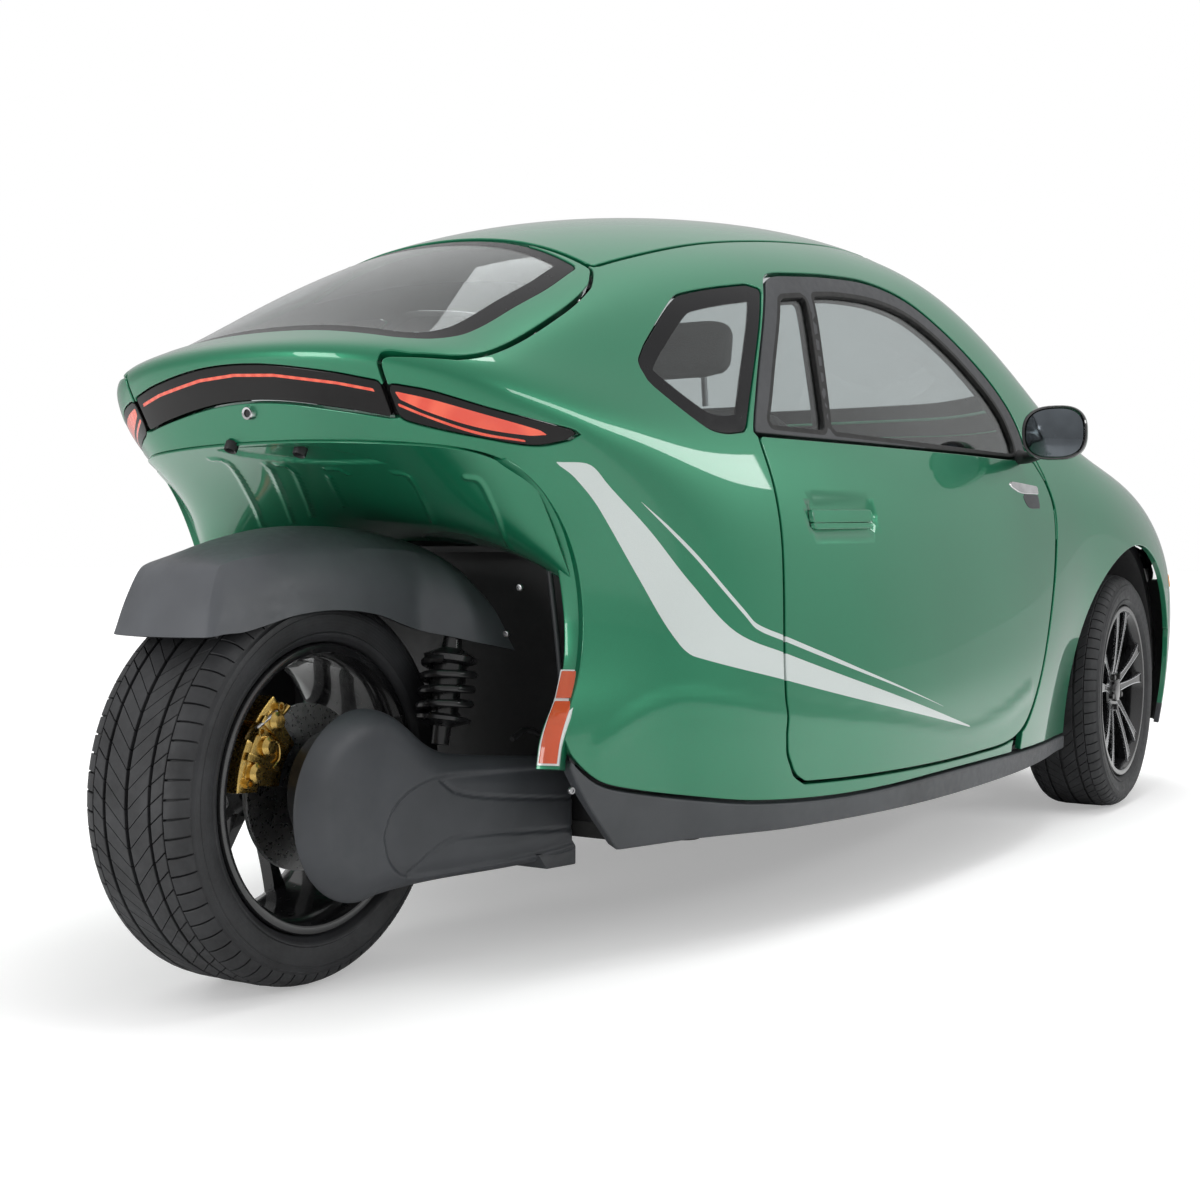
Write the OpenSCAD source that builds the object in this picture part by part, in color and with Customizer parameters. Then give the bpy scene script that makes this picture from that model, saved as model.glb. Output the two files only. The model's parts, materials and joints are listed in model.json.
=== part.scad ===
// Three wheeled coupe: two steered wheels in front, one driven wheel behind.
// Millimetres. +X forward, +Y left, +Z up, z = 0 on the ground.

/* [Overall] */
// Distance between the front and the rear axle
wheelbase = 2605; // [2200:5:3150]
// Width of the body over the front wheel arches
body_w = 1520; // [1320:5:1800]
// Height of the roof above the ground
body_h = 1455; // [1280:5:1700]

/* [Wheels] */
// Outer radius of all three tyres
tyre_r = 320; // [290:5:340]
// Radius of the rim flange
rim_r = 234; // [215:1:245]
// Width of the front tyres
front_tyre_w = 205; // [175:5:225]
// Width of the rear tyre
rear_tyre_w = 225; // [185:5:235]
// Distance between the outer faces of the front tyres
front_track = 1440; // [1400:5:1560]

/* [Body] */
// Thickness of the doors and body walls
wall = 42; // [30:1:55]
// Gap between two panels
shut_gap = 6; // [4:1:10]
// Thickness of the window glass
glass_t = 5; // [4:1:8]
// Radius of the front wheel arch cut in the fender
arch_gap = 80; // [60:5:110]
// Height of the floor above the ground
floor_z = 190; // [160:5:230]
// Thickness of the floor
floor_t = 28; // [18:1:40]

/* [Rear arm] */
// Radius of the round cover at the rear hub
cover_r = 158; // [130:2:185]
// Height of the rear arm where it leaves the cover
arm_h = 230; // [160:5:260]
// Radius of the rear brake disc
rear_disc_r = 135; // [110:1:150]
// Radius of the rear shock spring
spring_r = 46; // [34:1:52]

/* [Cabin] */
// Width of one seat
seat_w = 430; // [360:5:480]
// Radius of the steering wheel rim
wheel_rim_r = 175; // [150:5:195]
// Thickness of the battery block under the seats
battery_t = 100; // [70:5:130]

/* [Hidden] */
kx = wheelbase / 2605;
ky = body_w / 1520;
kz = body_h / 1455;
mid_x = 1475 * kx;
front_x = wheelbase;
front_y = (front_track - front_tyre_w) / 2;
pin_y = front_y - 58;
arch_r = tyre_r + arch_gap;
gap = shut_gap / 2;
skin_t = 16;
relief = 12;
fit = 0.06;
u_last = 19;
v_last = 10;

// Control net of the outer skin, left half. Each line is one station from
// tail to nose; its points run from the centre line out and down to the sill.
NET = [
    [[-35, 0, 880], [-28, 150, 877], [-6, 280, 870], [52, 350, 862], [117, 386, 845], [182, 412, 800], [246, 428, 710], [278, 427, 600], [257, 431, 480], [171, 428, 385], [363, 435, 200]],
    [[-62, 0, 935], [-56, 150, 932], [-34, 280, 925], [14, 362, 912], [90, 418, 890], [215, 441, 830], [305, 454, 725], [348, 455, 600], [334, 462, 480], [273, 462, 385], [438, 462, 200]],
    [[-100, 0, 985], [-94, 150, 982], [-66, 272, 974], [-14, 362, 958], [80, 425, 930], [217, 472, 865], [345, 477, 745], [401, 480, 605], [400, 490, 480], [385, 494, 380], [514, 486, 200]],
    [[-120, 0, 1026], [-112, 150, 1022], [-80, 272, 1012], [-22, 360, 994], [85, 422, 968], [240, 486, 902], [383, 501, 765], [448, 510, 610], [448, 522, 480], [443, 527, 375], [565, 513, 200]],
    [[-20, 0, 1050], [-8, 160, 1048], [40, 300, 1038], [95, 375, 1022], [180, 428, 995], [320, 492, 925], [460, 528, 785], [530, 543, 620], [530, 558, 480], [527, 564, 370], [642, 543, 198]],
    [[180, 0, 1170], [185, 170, 1160], [220, 310, 1125], [260, 400, 1080], [330, 445, 1020], [440, 500, 935], [574, 551, 800], [644, 577, 630], [645, 592, 480], [643, 597, 365], [720, 575, 196]],
    [[480, 0, 1305], [480, 190, 1285], [490, 340, 1225], [510, 430, 1150], [560, 480, 1050], [640, 530, 940], [764, 577, 805], [827, 607, 640], [828, 625, 480], [827, 630, 360], [867, 606, 194]],
    [[850, 0, 1395], [850, 200, 1372], [850, 370, 1310], [850, 465, 1230], [870, 515, 1100], [920, 565, 950], [980, 608, 810], [1020, 640, 640], [1020, 658, 480], [1020, 662, 355], [1040, 640, 192]],
    [[1200, 0, 1445], [1200, 210, 1424], [1200, 385, 1366], [1200, 482, 1285], [1200, 538, 1125], [1220, 595, 960], [1240, 636, 815], [1260, 664, 640], [1260, 680, 480], [1260, 684, 352], [1260, 664, 190]],
    [[1500, 0, 1468], [1500, 210, 1446], [1500, 390, 1392], [1500, 488, 1312], [1500, 555, 1130], [1520, 620, 965], [1520, 660, 818], [1520, 686, 640], [1520, 696, 480], [1520, 694, 352], [1500, 676, 190]],
    [[1790, 0, 1430], [1790, 220, 1412], [1795, 415, 1365], [1790, 520, 1295], [1780, 592, 1130], [1780, 642, 965], [1780, 682, 820], [1780, 702, 640], [1780, 706, 480], [1780, 702, 355], [1760, 685, 192]],
    [[2110, 0, 1275], [2100, 230, 1255], [2080, 450, 1215], [2050, 570, 1175], [2010, 636, 1060], [2000, 668, 945], [2020, 704, 825], [2030, 714, 640], [2030, 706, 480], [2030, 694, 360], [2010, 676, 196]],
    [[2360, 0, 1085], [2340, 240, 1070], [2290, 470, 1045], [2240, 605, 1025], [2210, 668, 985], [2200, 702, 900], [2230, 728, 800], [2250, 712, 640], [2250, 680, 480], [2250, 658, 360], [2230, 642, 200]],
    [[2540, 0, 965], [2510, 250, 960], [2450, 470, 960], [2430, 600, 950], [2440, 680, 940], [2450, 725, 885], [2460, 748, 790], [2470, 742, 660], [2470, 715, 500], [2470, 690, 360], [2450, 672, 200]],
    [[2780, 0, 900], [2770, 250, 905], [2740, 460, 915], [2730, 592, 920], [2730, 672, 898], [2730, 725, 848], [2730, 752, 760], [2730, 762, 650], [2730, 755, 500], [2730, 748, 350], [2720, 735, 200]],
    [[3020, 0, 820], [3010, 250, 828], [2990, 450, 850], [2990, 580, 845], [2990, 660, 820], [2990, 712, 768], [2990, 740, 690], [2970, 750, 580], [2970, 748, 440], [2970, 740, 310], [2960, 725, 200]],
    [[3200, 0, 715], [3190, 240, 722], [3165, 430, 730], [3155, 555, 722], [3145, 630, 700], [3140, 685, 655], [3130, 718, 585], [3120, 728, 490], [3100, 722, 380], [3095, 712, 290], [3080, 700, 200]],
    [[3270, 0, 540], [3262, 230, 545], [3235, 400, 545], [3205, 510, 530], [3185, 580, 500], [3165, 630, 470], [3150, 665, 430], [3140, 680, 380], [3130, 685, 320], [3125, 682, 265], [3110, 672, 200]],
    [[3280, 0, 340], [3272, 220, 340], [3245, 380, 340], [3215, 480, 335], [3195, 545, 325], [3175, 595, 310], [3160, 630, 295], [3150, 645, 280], [3142, 650, 260], [3135, 650, 235], [3125, 645, 200]],
    [[3240, 0, 195], [3232, 200, 195], [3208, 350, 195], [3180, 450, 195], [3162, 515, 195], [3147, 560, 195], [3137, 590, 195], [3132, 605, 195], [3130, 612, 195], [3128, 616, 195], [3126, 620, 195]],
];

// Underside of the tail, left half, from the band forward to the bulkhead.
TAIL = [
    [[-33, 0, 874], [-26, 150, 871], [-4, 276, 864], [45, 350, 858], [130, 376, 838], [184, 402, 796]],
    [[62, 0, 832], [66, 150, 826], [82, 256, 812], [122, 328, 795], [188, 374, 768], [229, 406, 728]],
    [[170, 0, 775], [172, 150, 764], [180, 256, 742], [205, 332, 716], [236, 384, 682], [268, 410, 640]],
    [[290, 0, 742], [290, 150, 730], [290, 262, 700], [296, 342, 664], [308, 392, 628], [320, 422, 585]],
    [[392, 0, 725], [392, 150, 712], [392, 266, 678], [392, 350, 634], [392, 402, 592], [393, 438, 548]],
];

// Outlines in side view, x and z.
DOOR = [[680, 912], [700, 821], [705, 737], [698, 643], [680, 470], [690, 344], [722, 292], [764, 275], [1114, 264], [1485, 262], [1690, 270], [1790, 306], [1868, 398], [1924, 531], [1970, 705], [1979, 805], [1955, 866], [1905, 922]];
FRAME = [[668, 912], [690, 955], [759, 1065], [870, 1214], [905, 1238], [995, 1253], [1161, 1271], [1337, 1280], [1498, 1261], [1637, 1205], [1771, 1119], [1842, 1050], [1874, 990], [1880, 922]];
REAR_PANE = [[728, 935], [752, 970], [812, 1062], [905, 1190], [1000, 1205], [958, 1080], [918, 935]];
FRONT_PANE = [[946, 935], [992, 1080], [1040, 1212], [1161, 1226], [1337, 1233], [1480, 1217], [1610, 1165], [1730, 1085], [1795, 1020], [1815, 960], [1812, 932]];
QUARTER = [[392, 1018], [432, 1056], [538, 1135], [590, 1162], [800, 1206], [848, 1204], [828, 1178], [700, 1000], [645, 916], [579, 910], [526, 919], [408, 985]];
SILL = [[0, 440], [196, 414], [226, 364], [280, 323], [335, 304], [510, 270], [646, 251], [912, 237], [1328, 240], [1938, 236], [2250, 232], [2250, 100], [0, 100]];
FENDER = [[1990, 800], [1962, 872], [1926, 930], [2140, 968], [2290, 1250], [2980, 1250], [2980, 100], [1700, 100], [1700, 264], [1798, 300], [1876, 394], [1932, 529], [1980, 705]];
NOSE = [[2980, 1250], [3600, 1250], [3600, 100], [2980, 100]];

// Outlines in plan, x and y.
HATCH = [[-400, 268], [-62, 272], [-32, 322], [20, 362], [90, 378], [280, 378], [385, 364], [440, 338], [440, -338], [385, -364], [280, -378], [90, -378], [20, -362], [-32, -322], [-62, -272], [-400, -268]];
REAR_GLASS = [[-22, 80], [-14, 245], [12, 296], [58, 322], [112, 330], [206, 330], [305, 330], [420, 318], [432, 200], [434, 0], [432, -200], [420, -318], [305, -330], [206, -330], [112, -330], [58, -322], [12, -296], [-14, -245], [-22, -80]];
ROOF = [[447, 332], [596, 342], [810, 352], [995, 365], [1210, 377], [1420, 382], [1520, 400], [1575, 250], [1592, 0], [1575, -250], [1520, -400], [1420, -382], [1210, -377], [995, -365], [810, -352], [596, -342], [447, -332]];
SCREEN = [[1526, 408], [1640, 436], [1760, 470], [1880, 506], [2010, 556], [2110, 598], [2160, 560], [2260, 430], [2330, 250], [2362, 0], [2330, -250], [2260, -430], [2160, -560], [2110, -598], [2010, -556], [1880, -506], [1760, -470], [1640, -436], [1526, -408], [1579, -250], [1596, 0], [1579, 250]];
HOOD = [[2230, 572], [2330, 430], [2392, 250], [2420, 0], [2392, -250], [2330, -430], [2230, -572], [2500, -584], [2800, -578], [2960, -560], [3040, -400], [3068, 0], [3040, 400], [2960, 560], [2800, 578], [2500, 584]];

// Outlines from the front or the rear, y and z.
LAMP = [[452, 700], [470, 735], [560, 748], [640, 738], [688, 700], [704, 650], [690, 622], [620, 628], [520, 655]];
LIGHT_UNIT = [[0, 992], [80, 988], [190, 972], [262, 957], [262, 906], [190, 920], [80, 936], [0, 940]];
UNDER_LIP = [[274, 700], [274, 994], [334, 993], [400, 988], [440, 975], [480, 960], [480, 700]];
LIGHT_WING = [[274, 954], [334, 941], [401, 915], [436, 901], [465, 889], [450, 875], [420, 866], [370, 876], [316, 890], [274, 903]];

// ---- skin ----
function scaled(p) = [p[0] * kx, p[1] * ky, p[2] * kz];
function weights(f) = [pow(1 - f, 3), 3 * pow(f, 3) - 6 * f * f + 4, 3 * f + 3 * f * f - 3 * pow(f, 3) + 1, pow(f, 3)] / 6;
function ctrl(a, k) = k < 0 ? 2 * a[0] - a[1] : k > len(a) - 1 ? 2 * a[len(a) - 1] - a[len(a) - 2] : a[k];
function spline(a, t) = let (k = min(floor(t), len(a) - 2), w = weights(t - k))
    w[0] * ctrl(a, k - 1) + w[1] * ctrl(a, k) + w[2] * ctrl(a, k + 1) + w[3] * ctrl(a, k + 2);
function flip(p) = [p[0], -p[1], p[2]];
function both(s) = concat([for (j = [len(s) - 1:-1:1]) flip(scaled(s[j]))], [for (p = s) scaled(p)]);
function grid(net, us, vs) = let (
    half = len(net[0]) - 1,
    rows = [for (s = net) let (f = both(s)) [for (v = vs) spline(f, v + half)]]
) [for (u = us) [for (b = [0:len(vs) - 1]) spline([for (r = rows) r[b]], u)]];
function near(g, a, b) = g[max(0, min(len(g) - 1, a))][max(0, min(len(g[0]) - 1, b))];
function normal(g, a, b) = let (n = cross(near(g, a + 1, b) - near(g, a - 1, b), near(g, a, b + 1) - near(g, a, b - 1))) n / norm(n);
function inward(g, d) = [for (a = [0:len(g) - 1]) [for (b = [0:len(g[0]) - 1]) g[a][b] - d[a] * normal(g, a, b)]];
function steps(a, b, n) = [for (i = [0:n]) a + (b - a) * i / n];

// Solid slab between the skin moved in by d0 and by d1.
module slab(g, d0, d1) {
    na = len(g);
    nb = len(g[0]);
    outer = inward(g, d0);
    inner = inward(g, d1);
    pts = concat([for (r = outer) each r], [for (r = inner) each r]);
    m = na * nb;
    top = [for (a = [0:na - 2]) for (b = [0:nb - 2]) each [
        [a * nb + b, a * nb + b + 1, (a + 1) * nb + b + 1],
        [a * nb + b, (a + 1) * nb + b + 1, (a + 1) * nb + b]]];
    under = [for (f = top) [f[2] + m, f[1] + m, f[0] + m]];
    ring = concat([for (b = [0:nb - 1]) b], [for (a = [1:na - 1]) a * nb + nb - 1],
        [for (b = [nb - 2:-1:0]) (na - 1) * nb + b], [for (a = [na - 2:-1:1]) a * nb]);
    nr = len(ring);
    edge = [for (i = [0:nr - 1]) let (p = ring[i], q = ring[(i + 1) % nr]) each [
        [q, p, p + m], [q, p + m, q + m]]];
    polyhedron(concat(pts), concat(top, under, edge), convexity = 8);
}
// The wall thins out over the tight curves of the tail.
function wall_at(u, t) = t * min(1, 0.35 + u * 0.13);
module skin(u0, u1, v0, v1, d0, d1) {
    us = steps(u0, u1, ceil((u1 - u0) * 2));
    vs = steps(v0, v1, ceil((v1 - v0) * 2));
    g = grid(NET, us, vs);
    slab(g, [for (u = us) d0], [for (u = us) max(d0 + 3, wall_at(u, d1))]);
}

// ---- outlines ----
module grown(pts, r) {
    polygon(pts);
    for (i = [0:len(pts) - 1])
        hull() {
            translate(pts[i]) circle(r, $fn = 8);
            translate(pts[(i + 1) % len(pts)]) circle(r, $fn = 8);
        }
}
module shrunk(pts, r) {
    difference() {
        polygon(pts);
        for (i = [0:len(pts) - 1])
            hull() {
                translate(pts[i]) circle(r, $fn = 8);
                translate(pts[(i + 1) % len(pts)]) circle(r, $fn = 8);
            }
    }
}
module side_cut(y0, y1) {
    translate([0, y1, 0]) rotate([90, 0, 0]) linear_extrude(height = y1 - y0, convexity = 6) scale([kx, kz]) children();
}
module plan_cut(z0, z1) {
    translate([0, 0, z0]) linear_extrude(height = z1 - z0, convexity = 6) scale([kx, ky]) children();
}
module end_cut(x0, x1) {
    translate([x0, 0, 0]) rotate([90, 0, 90]) linear_extrude(height = x1 - x0, convexity = 6) scale([ky, kz]) children();
}
module place() {
    translate([-mid_x, 0, 0]) children();
}
module mirrored() {
    children();
    mirror([0, 1, 0]) children();
}
module rod(p, q, r) {
    hull() {
        translate(p) sphere(r, $fn = 24);
        translate(q) sphere(r, $fn = 24);
    }
}
// Cylinder along Y.
module round_y(r, y0, y1, n = 96) {
    translate([0, y1, 0]) rotate([90, 0, 0]) cylinder(r = r, h = y1 - y0, $fn = n);
}
module box(x0, x1, y0, y1, z0, z1) {
    translate([x0, y0, z0]) cube([x1 - x0, y1 - y0, z1 - z0]);
}
// Block with its long edges rounded, held inside the given box.
module soft_box(x0, x1, y0, y1, z0, z1, r) {
    hull() {
        for (x = [x0 + r, x1 - r])
            for (z = [z0 + r, z1 - r])
                translate([x, 0, z]) round_y(r, y0, y1, 32);
    }
}

// ---- fixed body ----
module floor_tub() {
    color([0.12, 0.12, 0.13]) place() {
        difference() {
            translate([0, 0, floor_z]) linear_extrude(height = floor_t)
                polygon([[470 * kx, 440 * ky], [1100 * kx, 560 * ky], [1700 * kx, 612 * ky], [2170 * kx, 580 * ky], [2170 * kx, 330 * ky], [3060 * kx, 330 * ky],
                    [3060 * kx, -330 * ky], [2170 * kx, -330 * ky], [2170 * kx, -580 * ky], [1700 * kx, -612 * ky], [1100 * kx, -560 * ky], [470 * kx, -440 * ky]]);
            for (y = [-60, 60])
                translate([2960 * kx, y, floor_z - 1]) cylinder(r = 6, h = floor_t + 2, $fn = 48);
        }
        // firewall
        box(2140 * kx, 2160 * kx, -560 * ky, 560 * ky, floor_z + floor_t, 860 * kz);
        // jacking pads
        for (s = [-1, 1])
            for (x = [620, 1960])
                translate([x * kx, s * 420 * ky, floor_z - 12]) cylinder(r = 30, h = 12, $fn = 48);
    }
}
module wheelhouse() {
    color([0.03, 0.03, 0.035]) place() {
        box(472 * kx, 497 * kx, -440 * ky, 440 * ky, floor_z + floor_t, 700 * kz);
        box(402 * kx, 497 * kx, -340 * ky, 340 * ky, 700 * kz, 710 * kz);
        mirrored() box(290 * kx, 480 * kx, 385 * ky, 395 * ky, 330 * kz, 520 * kz);
    }
}
module tail_floor(n, d0, d1) {
    us = steps(0, 4, 12);
    v = 0.3875 * n;
    slab(grid(TAIL, us, steps(-v, v, 2 * n)), [for (u = us) d0], [for (u = us) d1]);
}
module tail_underside() {
    color([0.02, 0.2, 0.1]) place() {
        tail_floor(12, -14, 0);
        // strip under the light
        intersection() {
            skin(0, 1.5, -6, 6, 0, 40);
            end_cut(-400, 60 * kx) shrunk([[-271, 700], [-271, 905], [-190, 919], [-80, 935], [0, 939], [80, 935], [190, 919], [271, 905], [271, 700]], gap);
        }
    }
}
module body_sides() {
    color([0.05, 0.36, 0.2]) place() difference() {
        skin(0, 13, -v_last, v_last, 0, wall);
        mirrored() box(2229 * kx, 3000 * kx, 560 * ky, 800 * ky, 600 * kz, 1500 * kz);
        difference() {
            plan_cut(902 * kz, 2000) grown(HATCH, gap);
            mirrored() end_cut(-400, 60 * kx) polygon(UNDER_LIP);
        }
        plan_cut(850 * kz, 2000) grown(ROOF, gap);
        plan_cut(850 * kz, 2000) grown(SCREEN, gap);
        plan_cut(700 * kz, 2000) grown(HOOD, gap);
        box(-400, 440 * kx, -274 * ky, 274 * ky, 600 * kz, 1500 * kz);
        for (d = [0, 2]) translate([-d, 0, d]) tail_floor(13, -24, 6);
        side_cut(-900, 900) grown(DOOR, gap);
        side_cut(-900, 900) grown(FRAME, gap);
        side_cut(-900, 900) grown(QUARTER, 2);
        side_cut(-900, 900) grown(SILL, gap);
        side_cut(-900, -582 * ky) grown(FENDER, gap);
        side_cut(582 * ky, 900) grown(FENDER, gap);
        side_cut(-900, 900) grown(NOSE, gap);
        end_cut(-400, 240 * kx) grown(LIGHT_WING, 2);
        mirror([0, 1, 0]) end_cut(-400, 240 * kx) grown(LIGHT_WING, 2);
        mirrored() reflector_form(1);
    }
}
module roof_panel() {
    color([0.05, 0.36, 0.2]) place() intersection() {
        skin(5, 10.5, -4, 4, 0, wall);
        plan_cut(1000 * kz, 2000) shrunk(ROOF, gap);
    }
}
module windshield() {
    color([0.3, 0.33, 0.35, 0.5]) place() intersection() {
        skin(8.5, 13, -5, 5, 4, 4 + glass_t);
        plan_cut(900 * kz, 2000) shrunk(SCREEN, 2);
    }
}
module quarter_glass() {
    color([0.1, 0.1, 0.11]) place() intersection() {
        skin(3, 9, -7, 7, 4, 4 + glass_t);
        side_cut(-900, 900) shrunk(QUARTER, 1);
    }
}
module hood() {
    color([0.05, 0.36, 0.2]) place() intersection() {
        skin(11.5, 16.5, -6, 6, 0, 24);
        plan_cut(600 * kz, 2000) shrunk(HOOD, gap);
    }
}
module front_bumper() {
    color([0.05, 0.36, 0.2]) place() difference() {
        skin(14, u_last, -v_last, v_last, 0, wall);
        plan_cut(600 * kz, 2000) grown(HOOD, gap);
        side_cut(-900, 900) grown([[2400, 1250], [2980, 1250], [2980, 100], [2400, 100]], gap);
        translate([front_x, 0, tyre_r]) round_y(arch_r, -900, 900);
        end_cut(2700 * kx, 3600 * kx) grown(LAMP, 2);
        mirror([0, 1, 0]) end_cut(2700 * kx, 3600 * kx) grown(LAMP, 2);
        end_cut(3100 * kx, 3600 * kx) grown([[-420, 330], [-380, 265], [380, 265], [420, 330], [380, 395], [-380, 395]], 2);
    }
}
module front_fenders() {
    color([0.05, 0.36, 0.2]) place() difference() {
        intersection() {
            skin(10, 16.5, -v_last, v_last, 0, wall);
            side_cut(-900, 900) shrunk(FENDER, gap);
        }
        plan_cut(600 * kz, 2000) grown(HOOD, gap);
        box(1500 * kx, 2235 * kx, -588 * ky, 588 * ky, 600 * kz, 1500 * kz);
        box(1500 * kx, 3100 * kx, -562 * ky, 562 * ky, 600 * kz, 1500 * kz);
        side_cut(-900, 900) grown(SILL, gap);
        translate([front_x, 0, tyre_r]) round_y(arch_r, -900, 900);
        end_cut(2700 * kx, 3600 * kx) grown(LAMP, 2);
        mirror([0, 1, 0]) end_cut(2700 * kx, 3600 * kx) grown(LAMP, 2);
    }
}
module headlamps() {
    color([0.8, 0.82, 0.85]) place() intersection() {
        skin(14, 18, -v_last, v_last, 2, 36);
        union() {
            end_cut(2700 * kx, 3600 * kx) shrunk(LAMP, 1);
            mirror([0, 1, 0]) end_cut(2700 * kx, 3600 * kx) shrunk(LAMP, 1);
        }
    }
}
module sills() {
    color([0.1, 0.11, 0.12]) place() difference() {
        intersection() {
            skin(0, 13, -v_last, v_last, -4, 56);
            side_cut(-900, 900) shrunk(SILL, gap);
        }
        translate([front_x, 0, tyre_r]) round_y(arch_r, -900, 900);
        box(-400, 3000, -420 * ky, 420 * ky, 0, 600);
    }
}
module tailgate() {
    color([0.05, 0.36, 0.2]) place() difference() {
        intersection() {
            skin(0.5, 7, -6, 6, 0, 26);
            plan_cut(902 * kz, 2000) shrunk(HATCH, gap);
        }
        plan_cut(1000 * kz, 2000) grown(REAR_GLASS, 2);
        mirrored() end_cut(-400, 60 * kx) grown(UNDER_LIP, 2 * gap);
        end_cut(-400, 200) grown([[-300, 700], [-300, 905], [-190, 919], [-80, 935], [0, 939], [80, 935], [190, 919], [300, 905], [300, 700]], gap);
        end_cut(-400, 40) grown(LIGHT_UNIT, 2);
        mirror([0, 1, 0]) end_cut(-400, 40) grown(LIGHT_UNIT, 2);
    }
}
module rear_glass() {
    color([0.1, 0.11, 0.12, 0.6]) place() intersection() {
        skin(2.5, 7, -5, 5, 4, 4 + glass_t);
        plan_cut(1000 * kz, 2000) shrunk(REAR_GLASS, 1);
    }
}
module tail_lamp_centre() {
    color([0.02, 0.02, 0.02]) place() intersection() {
        skin(0, 4, -6, 6, 1, 20);
        end_cut(-400, 30) union() {
            shrunk(LIGHT_UNIT, 1);
            mirror([1, 0]) shrunk(LIGHT_UNIT, 1);
            translate([-3, 945]) square([6, 40]);
        }
    }
}
module tail_lamps_side() {
    color([0.02, 0.02, 0.02]) place() intersection() {
        skin(0, 4, -7, 7, 1, 24);
        end_cut(-400, 240 * kx) union() {
            shrunk(LIGHT_WING, 1);
            mirror([1, 0]) shrunk(LIGHT_WING, 1);
        }
    }
}
module reflector_form(g) {
    hull() {
        translate([256 * kx, 421 * ky, 500 * kz]) cube([12 + g, 26 + g, 10 + g], center = true);
        translate([236 * kx, 421 * ky, 420 * kz]) cube([12 + g, 28 + g, 10 + g], center = true);
        translate([196 * kx, 416 * ky, 366 * kz]) cube([12 + g, 30 + g, 8 + g], center = true);
    }
}
module reflectors() {
    color([0.75, 0.12, 0.03]) place() mirrored() reflector_form(0);
}

// ---- doors ----
module door_left() {
    color([0.05, 0.36, 0.2]) place() intersection() {
        skin(4, 13, 2, v_last, 0, wall);
        side_cut(300, 900) difference() {
            shrunk(DOOR, gap);
            translate([400, 915]) square([2000, 400]);
        }
        union() {
            skin(4, 13, 2, v_last, -1, skin_t);
            side_cut(300, 900) shrunk(DOOR, gap + relief);
        }
    }
}
module door_right() {
    mirror([0, 1, 0]) door_left();
}
module door_frame_left() {
    color([0.06, 0.065, 0.07]) place() intersection() {
        skin(4, 13, 2, 8, 1, wall - 6);
        side_cut(300, 900) difference() {
            shrunk(FRAME, gap);
            translate([400, 600]) square([2000, 317]);
            grown(REAR_PANE, 2);
            grown(FRONT_PANE, 2);
        }
        union() {
            skin(4, 13, 2, 8, -1, skin_t);
            side_cut(300, 900) shrunk(FRAME, gap + relief);
        }
    }
}
module door_frame_right() {
    mirror([0, 1, 0]) door_frame_left();
}
module door_glass_left() {
    color([0.3, 0.33, 0.35, 0.5]) place() intersection() {
        skin(4, 13, 2, 8, 10, 10 + glass_t);
        side_cut(300, 900) union() {
            shrunk(REAR_PANE, 0.5);
            shrunk(FRONT_PANE, 0.5);
        }
    }
}
module door_glass_right() {
    mirror([0, 1, 0]) door_glass_left();
}
module mirror_left() {
    color([0.05, 0.36, 0.2]) place() hull() {
        translate([1735 * kx, 772 * ky, 962 * kz]) scale([0.3, 1.25, 1]) sphere(60, $fn = 24);
        translate([1775 * kx, 765 * ky, 962 * kz]) scale([0.7, 0.9, 0.7]) sphere(60, $fn = 24);
        translate([1815 * kx, 690 * ky, 935 * kz]) sphere(12, $fn = 16);
    }
}
module mirror_right() {
    mirror([0, 1, 0]) mirror_left();
}

// ---- cabin ----
module seats() {
    color([0.1, 0.1, 0.11]) place() mirrored() translate([0, 285 * ky, 0]) {
        soft_box(1010 * kx, 1510 * kx, -seat_w / 2, seat_w / 2, 330 * kz, 470 * kz, 45);
        hull() {
            translate([1010 * kx, 0, 520 * kz]) round_y(50, -seat_w / 2, seat_w / 2, 32);
            translate([860 * kx, 0, 980 * kz]) round_y(42, -seat_w / 2 + 60, seat_w / 2 - 60, 32);
        }
        hull() {
            translate([852 * kx, 0, 1060 * kz]) round_y(34, -110, 110, 32);
            translate([838 * kx, 0, 1120 * kz]) round_y(30, -95, 95, 32);
        }
    }
}
module dashboard() {
    color([0.08, 0.08, 0.085]) place() {
        hull() {
            translate([2066 * kx, 0, 830 * kz]) round_y(60, -560 * ky, 560 * ky, 48);
            translate([2070 * kx, 0, 700 * kz]) round_y(50, -560 * ky, 560 * ky, 48);
        }
        box(1560 * kx, 2090 * kx, -55, 55, floor_z + floor_t + 6, 440 * kz);
    }
}
module steering_wheel() {
    color([0.05, 0.05, 0.05]) place() translate([1900 * kx, 285 * ky, 790 * kz]) rotate([0, -66, 0]) {
        rotate_extrude($fn = 96) translate([wheel_rim_r, 0]) circle(r = 14, $fn = 24);
        cylinder(r = 42, h = 34, center = true, $fn = 64);
        for (a = [90, 180, 270])
            rotate([0, 0, a]) translate([(wheel_rim_r + 20) / 2, 0, 0]) cube([wheel_rim_r - 20, 26, 10], center = true);
    }
}
module battery_block() {
    color([0.2, 0.2, 0.21]) place()
        box(700 * kx, 1500 * kx, -400 * ky, 400 * ky, floor_z + floor_t, floor_z + floor_t + battery_t);
}

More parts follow.
